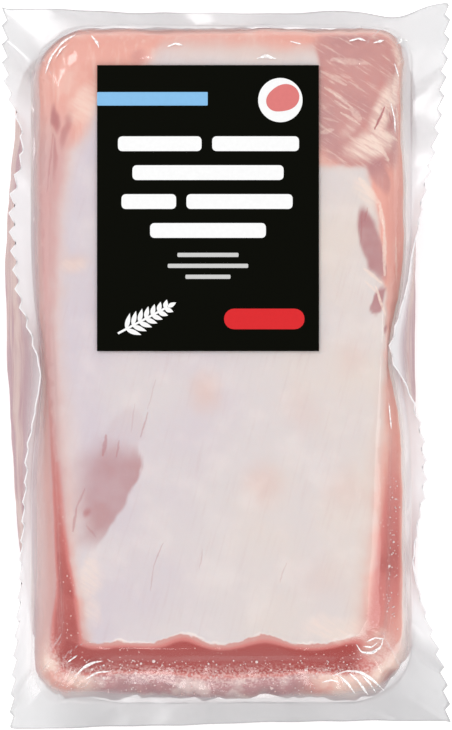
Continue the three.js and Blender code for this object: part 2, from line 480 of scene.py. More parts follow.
# A thin place in the skin, low on the left: its crisp side and its faded side, both clockwise.
LEAF_CRISP = [(-27.5, -24.0), (-25.6, -31.6), (-27.6, -39.1), (-32.5, -45.9), (-36.5, -52.0), (-39.5, -57.0)]
LEAF_FADED = [(-38.0, -59.5), (-48.0, -57.0), (-50.5, -44.0), (-48.5, -28.5), (-41.0, -20.5), (-25.0, -22.0)]
MARKS = [
    (-53.4, 76.6, 5.5, 1.8, 8, 1.0),
    (-54.2, 65.0, 9.0, 1.2, 8, 0.6),
    (-50.0, 73.0, 7.5, 1.7, -12, 0.7),
    (-27.0, 95.6, 3.5, 2.4, -45, 0.4),
    (-42.8, -46.4, 2.4, 1.7, -30, 0.85),
]
MARBLED_END = [(44.0, 86.0, 27, 19.5, 0, 1.0)]
WARM_PATCHES = [
    (-6.5, -7.8, 8.5, 8, 0, 0.9),
    (11.2, -37.3, 10, 8.5, 10, 0.8),
    (37.0, -38.9, 11, 9, 0, 0.6),
    (38.6, 2.5, 8, 7, 0, 0.5),
    (-47.0, 31.5, 5, 6, 0, 0.8),
    (24.0, -14.0, 12, 9, 30, 0.4),
    (30.0, -66.0, 10, 12, 0, 0.35),
    (4.0, 99.0, 5, 32, 0, 0.8),
]
CREAM_PATCHES = [
    (-44.0, 82.0, 8, 4.5, -20, 0.6),
    (-47.5, 31.0, 3, 5.0, 0, 0.4),
    (-42.0, -66.0, 8.5, 4.0, -8, 0.55),
    (-41.0, -77.0, 6, 3.0, 10, 0.4),
    (34.0, -82.5, 4.5, 13, 0, 0.5),
    (49.5, 79.5, 13, 4.2, -24, 1.0),
    (45.5, 68.6, 10, 5.0, -76, 1.0),
    (53.8, 85.0, 8, 2.6, -12, 0.9),
    (38.5, 74.0, 4.0, 2.2, -58, 0.35),
    (58.5, 93.0, 10, 3.6, 30, 0.9),
    (43.5, 53.0, 6, 3, 25, 0.5),
    (47.5, -88.5, 7, 6, 30, 0.5),
    (53.0, -97.0, 7, 6, 30, 0.8),
    (-55.5, -94.5, 5, 3.5, -40, 0.9),
    (-48.5, -99.5, 3.5, 3.5, 0, 0.7),
]
# A streak is x, y, x, y, half width, and strength.
FAT_STREAKS = [
    (33.0, 95.2, 44.0, 94.0, 1.1, 0.35),
    (29.5, 91.6, 37.6, 87.2, 0.7, 0.45),
    (30.8, 86.5, 39.4, 80.2, 0.5, 0.6),
    (38.4, 88.4, 43.2, 85.2, 0.4, 0.35),
    (33.8, 82.5, 37.8, 80.0, 0.35, 0.4),
    (38.8, 80.0, 42.0, 76.6, 1.2, 0.4),
    (35.8, 78.8, 41.7, 74.9, 0.45, 0.6),
    (30.5, 77.0, 35.0, 75.6, 0.4, 0.3),
    (29.5, 72.5, 33.3, 73.2, 0.9, 0.4),
    (45.4, 71.5, 50.6, 64.0, 0.8, 0.6),
    (48.0, 72.6, 53.6, 70.2, 0.6, 0.5),
    (53.4, 80.0, 54.6, 70.0, 0.5, 0.6),
    (41.6, 58.0, 47.8, 50.2, 1.2, 0.6),
    (47.8, 50.2, 49.4, 42.0, 0.7, 0.75),
    (49.4, 42.0, 49.4, 28.0, 0.7, 0.75),
    (43.0, 30.0, 48.6, 25.6, 0.6, 0.6),
    (46.6, 24.5, 49.6, 15.5, 0.5, 0.8),
    (43.4, 26.0, 47.0, 22.4, 0.5, 0.5),
    (53.0, 40.0, 53.4, 26.0, 0.4, 0.5),
]
CREASES = [
    (49.4, 80.4, 46.4, 73.4, 0.42, 1.0),
    (-54.0, 72.0, -56.0, 54.0, 0.35, 0.4),
    (-37.2, -22.0, -38.4, -28.2, 0.7, 0.55),
    (-33.2, -23.5, -34.1, -28.5, 0.35, 0.45),
    (-22.0, -4.5, -24.3, -13.6, 0.2, 0.25),
    (-24.3, -14.6, -26.6, -22.4, 0.28, 0.45),
    (-28.3, -12.0, -29.6, -21.0, 0.25, 0.2),
    (-44.0, -38.5, -46.6, -44.8, 0.4, 0.4),
    (-46.6, -44.8, -47.7, -51.8, 0.5, 0.5),
    (-43.5, -50.0, -40.5, -53.5, 0.35, 0.3),
    (-19.6, -55.5, -22.6, -62.5, 0.25, 0.4),
    (-22.6, -62.5, -23.5, -70.2, 0.25, 0.3),
    (-7.2, -57.5, -8.4, -63.5, 0.22, 0.3),
    (18.8, -61.6, 16.6, -67.5, 0.25, 0.25),
    (42.4, 48.0, 42.0, 38.0, 0.25, 0.5),
    (44.2, 49.0, 43.2, 45.0, 0.3, 0.5),
    (51.0, 79.0, 51.6, 75.5, 0.25, 0.6),
    (54.6, 95.0, 55.6, 90.0, 0.25, 0.5),
]


def patch_depth(x, y, patch):
    """1 in the middle of an oval patch, 0 at its rim, and less outside."""
    at_x, at_y, along, across, lean, _ = patch
    turn = math.radians(lean)
    u = (x - at_x) * math.cos(turn) + (y - at_y) * math.sin(turn)
    v = -(x - at_x) * math.sin(turn) + (y - at_y) * math.cos(turn)
    return 1 - np.hypot(u / across, v / along)


def patch_mask(skin, rows, hardness, seed):
    """The mask of several patches with wandering rims."""
    broad, fine = (7, 7, 7), (2.5, 2.5, 2.5)
    x = skin[..., 0] + 1.5 * noise(skin, broad, seed) + 0.6 * noise(skin, fine, seed + 1)
    y = skin[..., 1] + 1.5 * noise(skin, broad, seed + 2) + 0.6 * noise(skin, fine, seed + 3)
    return np.maximum.reduce([row[5] * smooth(-0.1, 1 - hardness, patch_depth(x, y, row)) for row in rows])


def inside(x, y, line):
    """Millimetres to the right of a bent line that bulges to its left."""
    depths = []
    for (x0, y0), (x1, y1) in zip(line, line[1:]):
        reach = math.hypot(x1 - x0, y1 - y0)
        depths.append(((x - x0) * (y1 - y0) - (y - y0) * (x1 - x0)) / reach)
    return np.minimum.reduce(depths)


def leaf_mask(skin):
    """The thin place in the skin, with a crisp side and a faded side."""
    x = skin[..., 0] + 1.0 * noise(skin, (5, 5, 5), SEEDS.leaf)
    x = x + 0.5 * noise(skin, (1.8, 1.8, 1.8), SEEDS.leaf + 1)
    y = skin[..., 1] + 1.0 * noise(skin, (5, 5, 5), SEEDS.leaf + 2)
    y = y + 0.5 * noise(skin, (1.8, 1.8, 1.8), SEEDS.leaf + 3)
    crisp, faded = inside(x, y, LEAF_CRISP), inside(x, y, LEAF_FADED)
    return smooth(-0.2, 1.0, crisp) * (0.6 * smooth(-0.5, 6.5, faded) + 0.4 * smooth(4, 10, faded))


def streak_depth(x, y, streak, wider=0.0):
    """1 on a streak's line and 0 at its half width."""
    x0, y0, x1, y1, half_width, _ = streak
    dx, dy = x1 - x0, y1 - y0
    t = np.clip(((x - x0) * dx + (y - y0) * dy) / (dx * dx + dy * dy), 0, 1)
    return 1 - np.hypot(x - x0 - t * dx, y - y0 - t * dy) / (half_width + wider)


# Where the white skin ends on the left and right, as places along the pack and across it.
LEFT_BORDER = [
    (-95, -43.5), (-85, -44.0), (-78, -44.6), (-70, -45.6), (-61, -47.8), (-36, -50.3), (-17, -52), (0, -54),
    (20, -53.8), (45, -53), (55, -51.5), (66, -48.5), (72, -45), (80, -40), (90, -36),
]
RIGHT_BORDER = [
    (-95, 41), (-85, 41.8), (-73, 43.2), (-58, 45.2), (-42, 47), (-27, 48.6), (-11, 50.3), (5, 50.8),
    (20, 49.8), (36, 48.6), (50, 47), (60, 44.5), (66, 42), (75, 40),
]


def side_border(x, y):
    """Millimetres inward from the soft borders of the white skin, at its sides and top."""
    left = x - np.interp(y, *zip(*LEFT_BORDER))
    right = np.interp(y, *zip(*RIGHT_BORDER)) - x
    above_label = 1.5 * smooth(-5, 32, x) + 38 * smooth(27, 36, x)
    beside_label = np.where(y > 93, above_label, 39 * smooth(24, 28.5, x))
    high = 89 + 12 * smooth(-30, -18, x) - beside_label - y
    return np.minimum.reduce([left, right, high])


def low_border(x, y):
    """Millimetres inward from the torn border of the white skin at the low end."""
    folds = pull(x, -13.5, 3.8, 6.5) + pull(x, 12, 3.2, 8) + pull(x, 42, 3.2, 9) + pull(x, -54, 5.5, 8)
    return y + 87.4 - folds - pull(x, -32, 1.2, 9)


def meat_rows(column):
    """The rings of the meat, and how far along each one is: 1 at the rim, 2 at the lip and 3 at the foot."""
    rows = [(face_row(column, share), share) for share in face_shares(MEAT_FACE_ROWS)]
    rows += over_rows(column, MEAT_OVER_ROWS)
    under = ["lip", "seal", "under_seal", "belly", "flank", "foot"]
    last = MEAT_UNDER_ROWS - 1
    rows += [(curve_through(under, column, i / last), 2 + i / last) for i in range(MEAT_UNDER_ROWS)]
    foot = ring_points(RINGS["foot"], column)
    rows += [(foot * share, 4 - share) for share in (0.97, 0.9, 0.75, 0.5, 0.25, 0)]
    return np.stack([row for row, _ in rows]), np.array([along for _, along in rows])[:, None]


def meat_shape(sizes):
    """The meat's points, inside the film, with the masks that its material reads."""
    column = np.arange(COLUMNS * MEAT_STEPS) / MEAT_STEPS
    skin, section = meat_rows(column)
    x, y = skin[..., 0], skin[..., 1]
    normals = skin_normals(skin)
    _, sy, long = direction(column)
    high_end = np.where(long, smooth(0.7, 1.0, sy), np.where(sy > 0, 1, 0))
    lowest = np.where(long, smooth(-0.8, -1, sy), np.where(sy < 0, 1, 0))
    on_face = smooth(1.9, 1.6, section) + 0 * x
    # The juice's outer limit, where the pale lip begins.
    limit = np.where(x < 0, 1.7 + 0.2 * smooth(15, 50, y) + 0.15 * smooth(-65, -85, y), 1.93)
    lip_start = limit + (1.8 - limit) * lowest
    lip = smooth(lip_start - 0.05, lip_start + 0.12, section) * smooth(2.4, 2.15, section) + 0 * x
    belly = smooth(2.02, 2.3, section) + 0 * x
    side, low = side_border(x, y), low_border(x, y)
    # Juice stands between the skin's border and the lip, deepest at the low end but for its right corner.
    outside = smooth(0.5, np.where((x < 0) & (y < -30), -3.0, -4.5), side)
    outside = outside * smooth(limit + 0.06, limit - 0.1, section)
    depth = np.where(x < 0, 0.2 + 0.6 * smooth(5, -75, y), 0.22 + 0.5 * smooth(-15, -62, y))
    depth = depth - 0.45 * pull(x, 54, 1, 10) * smooth(-62, -84, y) - 0.3 * smooth(50, 85, y)
    juice = outside * depth
    pool = smooth(0.3, -3.6, low) * smooth(1.94, 1.76, section) * lowest * (1 - 0.75 * smooth(36, 50, x))
    juice = np.maximum(juice, pool)
    cover = smooth(-5, 3, side) * smooth(-0.4, 0.4, low) * on_face
    window = np.maximum.reduce([row[5] * smooth(0, 0.35, patch_depth(x, y, row)) for row in WINDOWS])
    fat = np.maximum.reduce([row[5] * smooth(0, 0.8, streak_depth(x, y, row, 0.4)) for row in FAT_STREAKS])
    slit = np.maximum.reduce([row[5] * smooth(0, 1, streak_depth(x, y, row, 0.7)) for row in CREASES])
    hem = np.exp(-(((low - 0.4) / 0.8) ** 2)) * smooth(0, 3, side) * on_face
    lumps = noise(skin, (15, 20, 12), SEEDS.lumps) + 0.5 * noise(skin, (6, 9, 6), SEEDS.fine_lumps)
    fibres = noise(skin, (2.4, 24, 2.8), SEEDS.fibres)
    ragged = noise(skin, (3, 3, 3), SEEDS.ragged)
    relief = (sizes.relief_depth / MM) * (
        0.6 * (cover - 1) + 0.8 * hem - 0.5 * window * cover + 0.35 * fat * on_face
        - 1.2 * slit * on_face + 0.2 * lumps + 0.9 * fibres * belly + 0.8 * ragged * lip
    )
    inset = sizes.film_gap / MM
    relief = np.minimum(relief * smooth(3.05, 2.9, section), inset * 0.7)
    points = skin + normals * (unevenness(skin) + relief - inset)[..., None]
    # The meat's torn end stops short of the film.
    torn = 1.1 + 1.4 * noise(skin, (6, 6, 40), SEEDS.torn)
    torn = torn + 0.9 * noise(skin, (2.4, 2.4, 30), SEEDS.torn_fine)
    outward = skin[..., :2] / np.linalg.norm(skin[..., :2] + 1e-9, axis=-1, keepdims=True)
    back = np.clip(torn, 0, 4) * lowest * smooth(1.7, 2.1, section) * smooth(3, 2.8, section)
    points[..., :2] -= outward * back[..., None]
    points[..., 2] = np.maximum(points[..., 2], inset / 2)
    masks = {
        "side": side * on_face - 9 * (1 - on_face),
        "low": low * on_face - 9 * (1 - on_face),
        "softness": 1.0 + 1.8 * smooth(20, -30, y) + 2 * smooth(80, 95, y)
        + 1.4 * smooth(20, -20, x) * (1 - 1.8 * smooth(-40, -62, y)),
        "juice": juice,
        "lip": lip,
        "belly": belly,
        "on_face": on_face,
        "rosy": patch_mask(skin, MARBLED_END, 0.88, SEEDS.marbled) * smooth(1.9, 1.5, section),
        "warm": patch_mask(skin, WARM_PATCHES, 0.0, SEEDS.warm) * on_face,
        "window": np.maximum(patch_mask(skin, WINDOWS, 0.75, SEEDS.window), 0.8 * leaf_mask(skin)) * on_face,
        "mark": patch_mask(skin, MARKS, 0.3, SEEDS.mark),
        "creamy": patch_mask(skin, CREAM_PATCHES, 0.4, SEEDS.cream) * smooth(2.1, 1.9, section),
        "high_end": high_end,
        "low_end": lowest,
        "froth": smooth(1.62, 1.86, section) * smooth(2.06, 1.9, section) * lowest,
        "mauve_lip": lowest * smooth(-46, -38, x) * smooth(32, 20, x),
        "dusky": smooth(-44, -52, x) * smooth(86, 62, y),
    }
    return points, masks


def wrinkle_heights(column, along, height):
    """The film's wrinkles: narrow ridges that run down the section, most of them at the corners."""
    rng = np.random.default_rng(SEEDS.wrinkles)
    total = np.zeros(np.broadcast(column, along).shape)

    def ridge(at, width, start, end, tall, slant):
        nonlocal total
        off = np.mod(column - at - slant * (along - start) + COLUMNS / 2, COLUMNS) - COLUMNS / 2
        fade = smooth(start - 0.15, start + 0.2, along) * smooth(end + 0.2, end - 0.25, along)
        total = np.maximum(total, tall * np.exp(-((off / width) ** 2)) * fade)

    for corner in (RIGHT, TOP, LEFT, BOTTOM):
        for _ in range(9):
            at = corner + rng.normal(0, 1.7)
            start = rng.uniform(1.0, 1.8)
            ridge(at, rng.uniform(0.09, 0.22), start, start + rng.uniform(0.5, 1.4),
                  height * rng.uniform(0.35, 0.9), rng.uniform(-1.2, 1.2))
    for first, count in ((TOP, 12), (BOTTOM, 22)):
        for _ in range(count):
            at = first + rng.uniform(2, END_COLUMNS - 2)
            start = rng.uniform(1.5, 2.2)
            ridge(at, rng.uniform(0.06, 0.16), start, start + rng.uniform(0.3, 0.9),
                  height * rng.uniform(0.15, 0.5), rng.uniform(-1.5, 1.5))
    for first in (RIGHT, LEFT):
        for _ in range(26):
            at = first + rng.uniform(1, TEETH - 1)
            start = rng.uniform(1.7, 2.3)
            ridge(at, rng.uniform(0.08, 0.2), start, start + rng.uniform(0.3, 0.7),
                  height * rng.uniform(0.1, 0.35), rng.uniform(-1, 1))
    return total


def film_shape(sizes):
    """The film's points, over the meat, out to the cut edge and back under it."""
    column = np.arange(COLUMNS * FILM_STEPS) / FILM_STEPS
    tooth_depth = sizes.tooth_depth / MM
    rows, alongs, across = [], [], []

    def add(row, along, share=0.0):
        rows.append(row)
        alongs.append(along)
        across.append(share)

    for share in face_shares(FILM_FACE_ROWS):
        add(face_row(column, share), share)
    for row, reached in over_rows(column, FILM_OVER_ROWS):
        add(row, reached)
    add(ring_points(RINGS["lip"], column), 2)
    half = sizes.seal_thickness / MM / 2
    lip_row = rows[-1]
    inner, up = seal_points(column, 0, tooth_depth)
    landing = inner + up * half
    for i in range(1, 5):
        add(lip_row + (landing - lip_row) * i / 5, 2 + i / 5)
    strip = [0, 0.06, 0.14, 0.24, 0.36, 0.5, 0.64, 0.78, 0.88, 0.94, 0.975, 1]
    wave = 0.45 * np.sin(column * 0.9) + 0.3 * np.sin(column * 2.3 + 1)
    for side, shares in ((1, strip), (-1, strip[::-1])):
        for share in shares:
            middle, up = seal_points(column, share, tooth_depth)
            lift = wave * smooth(0.05, 1, share) * 0.6
            thick = half * (0.35 if share == 1 else 1)
            add(middle + up * (side * thick + lift)[:, None], 3, share)
    last = FILM_UNDER_ROWS - 1
    for i in range(FILM_UNDER_ROWS):
        add(curve_through(["under_seal", "belly", "flank", "foot"], column, i / last), 4 + i / last)
    foot = ring_points(RINGS["foot"], column)
    for share in (0.97, 0.85, 0.6, 0.3, 0):
        add(foot * share, 6 - share)
    points = np.stack(rows)
    along = np.array(alongs)[:, None]
    share = np.array(across)[:, None]
    normals = skin_normals(points)
    off_strip = np.where(np.abs(along - 3) < 0.01, 0, 1)
    raised = wrinkle_heights(column[None, :], along, sizes.wrinkle_height / MM)
    raised = raised * smooth(3.0, 2.75, along) * (along < 3)
    pleats = 0.3 * np.maximum(0, noise(points, (5, 5, 60), SEEDS.pleats))
    pleats = pleats * smooth(4, 4.25, along) * smooth(4.95, 4.6, along)
    points = points + normals * (unevenness(points) * off_strip + raised + pleats)[..., None]
    points[..., 2] = np.maximum(points[..., 2], 0)
    on_strip = (np.abs(along - 3) < 0.01) * np.ones(points.shape[:2])
    sx, sy, long = direction(column)
    # At the ends the free film beside the seal is as milky as the seal, and at the sides less so.
    low_gap = 2.35 - 0.3 * smooth(0.5, 0.8, np.abs(sx))
    above = np.where(sy > 0, smooth(2.0, 2.35, along), smooth(low_gap, low_gap + 0.3, along))
    below = np.where(sy > 0, smooth(4.2, 4.0, along), smooth(4.5, 4.2, along))
    near_strip = above * (along < 3.5) + below * (along > 3.5)
    beside = 0.6 * smooth(2.0, 3.0, along) * (along < 3.5)
    near_strip = np.where(long, np.maximum(beside, near_strip * smooth(0.85, 1, np.abs(sy))), near_strip)
    clearer = 0.35 * (long & (sx < 0)) * smooth(0.6, 0.05, share) * smooth(0.55, 0.2, sy)
    near_strip = np.maximum(on_strip * (1 - clearer), near_strip * (1 - on_strip))
    inner, outer = ring_points(RINGS["seal"], column), ring_points(RINGS["edge"], column)
    width = np.where(long, SEAL_WIDTH["side"], SEAL_WIDTH["end"])
    strip_spread = np.hypot(*(outer - inner)[:, :2].T) / width
    haze_start = np.where(sx > 0, 1.84, 1.74)
    side_haze = np.where(sx > 0, 0.3 + 0.2 * smooth(-0.7, -0.2, sy), 0.2) * smooth(-1.0, -0.6, sy)
    lip_haze = np.where(long, side_haze, np.where(sy > 0, 0.1, 0.02))
    welded_side = np.where(long & (sx < 0), smooth(-0.4, -0.6, sy) * smooth(-0.9, -0.78, sy), 0)
    masks = {
        "across": share * np.ones(points.shape[:2]),
        "strip": near_strip,
        "lip": smooth(haze_start, haze_start + 0.2, along) * (along < 3) * lip_haze,
        # Painted light: the strip's milk is lighter and thicker where it stands up.
        "standing_painted_light": on_strip * smooth(0.95, 0.55, strip_spread),
        # Painted shade: the seal's milk is darker and thicker at its low end and in the middle of its top
        # end.
        "shaded": near_strip * (
            smooth(-0.75, -1.0, sy) * (0.15 + 0.85 * smooth(-1.0, -0.5, sx))
            + 0.35 * smooth(0.97, 1, sy) * smooth(0.95, 0.7, np.abs(sx))
        ),
        "welded": on_strip * smooth(0.75, 0.5, share) * welded_side,
        # The folds' height, from which the film's material also paints a highlight on their ridges.
        "fold": raised / (sizes.wrinkle_height / MM),
    }
    return points, masks


class Shade:
    """Makes the nodes of one material or node group, and joins them."""

    def __init__(self, tree):
        self.tree = tree

    def add(self, kind, settings=None, **inputs):
        """A node of the kind, with settings on it and values or sockets on its inputs."""
        node = self.tree.nodes.new(kind)
        for key, value in (settings or {}).items():
            setattr(node, key, value)
        for key, value in inputs.items():
            self.feed(node.inputs[key.replace("_", " ")], value)
        return node

    def feed(self, socket, value):
        if isinstance(value, bpy.types.NodeSocket):
            self.tree.links.new(value, socket)
        elif value is not None:
            socket.default_value = value

    def math(self, operation, a, b=0.0, c=0.0):
        node = self.tree.nodes.new("ShaderNodeMath")
        node.operation = operation
        for socket, value in zip(node.inputs, (a, b, c)):
            self.feed(socket, value)
        return node.outputs[0]

    def mix(self, share, a, b):
        node = self.tree.nodes.new("ShaderNodeMix")
        node.data_type = "RGBA"
        self.feed(node.inputs[0], share)
        self.feed(node.inputs[6], a)
        self.feed(node.inputs[7], b)
        return node.outputs[2]

    def spread(self, value, low, high, to_low=0.0, to_high=1.0):
        """A soft step of a value between two others."""
        node = self.tree.nodes.new("ShaderNodeMapRange")
        node.interpolation_type = "SMOOTHSTEP"
        for socket, number in zip(node.inputs, (value, low, high, to_low, to_high)):
            self.feed(socket, number)
        return node.outputs[0]

    def attribute(self, name):
        return self.add("ShaderNodeAttribute", {"attribute_name": name}).outputs["Fac"]

    def noise(self, vector, scale, detail=2.0, roughness=0.5):
        node = self.add("ShaderNodeTexNoise", None, Scale=scale, Detail=detail, Roughness=roughness)
        self.feed(node.inputs["Vector"], vector)
        return node.outputs["Fac"]

    def stretched(self, vector, size, turn=0.0):
        """Coordinates for a texture with lumps of a size, turned about Z by an angle in degrees."""
        rotation = (0, 0, math.radians(turn))
        node = self.add("ShaderNodeMapping", {"vector_type": "TEXTURE"}, Scale=size, Rotation=rotation)
        self.feed(node.inputs["Vector"], vector)
        return node.outputs[0]

    def output(self, shader):
        """Joins a finished shader to the material's output."""
        self.feed(self.add("ShaderNodeOutputMaterial").inputs["Surface"], shader.outputs[0])

    def group(self, tree, **inputs):
        node = self.tree.nodes.new("ShaderNodeGroup")
        node.node_tree = tree
        for key, value in inputs.items():
            self.feed(node.inputs[key.replace("_", " ")], value)
        return node.outputs[0]


def linear(shown, gain=1.0):
    """A colour as it looks on a screen, as the light that a surface sends back."""
    values = [(c / 12.92 if c <= 0.04045 else ((c + 0.055) / 1.055) ** 2.4) * gain for c in shown]
    return (*values, 1.0)


def new_material(name):
    material = bpy.data.materials.new(name)
    material.use_nodes = True
    material.node_tree.nodes.clear()
    return material, Shade(material.node_tree)


def new_group(name, inputs, output="Mask"):
    """An empty node group with named inputs, each a kind and a default, and one output."""
    tree = bpy.data.node_groups.new(name, "ShaderNodeTree")
    for key, (kind, default) in inputs.items():
        socket = tree.interface.new_socket(name=key, in_out="INPUT", socket_type=kind)
        socket.default_value = default
    tree.interface.new_socket(name=output, in_out="OUTPUT", socket_type="NodeSocketFloat")
    shade = Shade(tree)
    entry = tree.nodes.new("NodeGroupInput")
    leave = tree.nodes.new("NodeGroupOutput")
    return tree, shade, entry.outputs, leave.inputs[0]


def streak_group():
    """The mask of a soft line between two points, seen from above, laid over another mask."""
    tree, shade, given, result = new_group("Streak", {
        "Place": ("NodeSocketVector", (0, 0, 0)),
        "Start": ("NodeSocketVector", (0, 0, 0)),
        "End": ("NodeSocketVector", (1, 0, 0)),
        "Half Width": ("NodeSocketFloat", 1.0),
        "Strength": ("NodeSocketFloat", 1.0),
        "Under": ("NodeSocketFloat", 0.0),
    })

    def vector(operation, a, b, output=0):
        node = shade.tree.nodes.new("ShaderNodeVectorMath")
        node.operation = operation
        shade.feed(node.inputs[0], a)
        if operation == "SCALE":
            shade.feed(node.inputs["Scale"], b)
        else:
            shade.feed(node.inputs[1], b)
        return node.outputs[output]

    line = vector("SUBTRACT", given["End"], given["Start"])
    off = vector("SUBTRACT", given["Place"], given["Start"])
    reach = vector("DOT_PRODUCT", off, line, 1)
    size = vector("DOT_PRODUCT", line, line, 1)
    share = shade.math("MAXIMUM", shade.math("MINIMUM", shade.math("DIVIDE", reach, size), 1.0), 0.0)
    near = vector("SCALE", line, share)
    away = shade.add("ShaderNodeVectorMath", {"operation": "LENGTH"})
    shade.feed(away.inputs[0], vector("SUBTRACT", off, near))
    from_middle = shade.math("ABSOLUTE", shade.math("SUBTRACT", share, 0.5))
    taper = shade.math("SUBTRACT", 1.15, shade.math("MULTIPLY", from_middle, 1.3))
    width = shade.math("MULTIPLY", given["Half Width"], taper)
    depth = shade.math("DIVIDE", away.outputs["Value"], width)
    mask = shade.math("MULTIPLY", shade.spread(depth, 1.25, 0.45), given["Strength"])
    shade.feed(result, shade.math("MAXIMUM", mask, given["Under"]))
    return tree


def streaks(shade, place, rows):
    """The mask of several streaks. Each is laid over the one before, which keeps the shader small."""
    group, mask = streak_group(), 0.0
    for x0, y0, x1, y1, half_width, strength in rows:
        mask = shade.group(group, Place=place, Start=(x0, y0, 0), End=(x1, y1, 0),
                           Half_Width=half_width, Strength=strength, Under=mask)
    return mask


def seen_from_above(shade, in_mm, wander, lump):
    """Places without their height, moved a little so that what is drawn there has a natural edge."""
    noise = shade.add("ShaderNodeTexNoise", None, Scale=1 / lump, Detail=3.0, Roughness=0.6)
    shade.feed(noise.inputs["Vector"], in_mm)
    moved = shade.add("ShaderNodeVectorMath", {"operation": "MULTIPLY_ADD"})
    shade.feed(moved.inputs[0], noise.outputs["Color"])
    moved.inputs[1].default_value = (2 * wander, 2 * wander, 0)
    shade.feed(moved.inputs[2], in_mm)
    centred = shade.add("ShaderNodeVectorMath", {"operation": "SUBTRACT"})
    shade.feed(centred.inputs[0], moved.outputs[0])
    centred.inputs[1].default_value = (wander, wander, 0)
    flat = shade.add("ShaderNodeVectorMath", {"operation": "MULTIPLY"})
    shade.feed(flat.inputs[0], centred.outputs[0])
    flat.inputs[1].default_value = (1, 1, 0)
    return flat.outputs[0]


def ring_millimetres(shade):
    """The place on the piece in ring millimetres."""
    place = shade.add("ShaderNodeTexCoord").outputs["Object"]
    node = shade.add("ShaderNodeMapping", None, Location=tuple(MIDDLE), Scale=(1 / MM,) * 3)
    shade.feed(node.inputs["Vector"], place)
    return node.outputs[0]


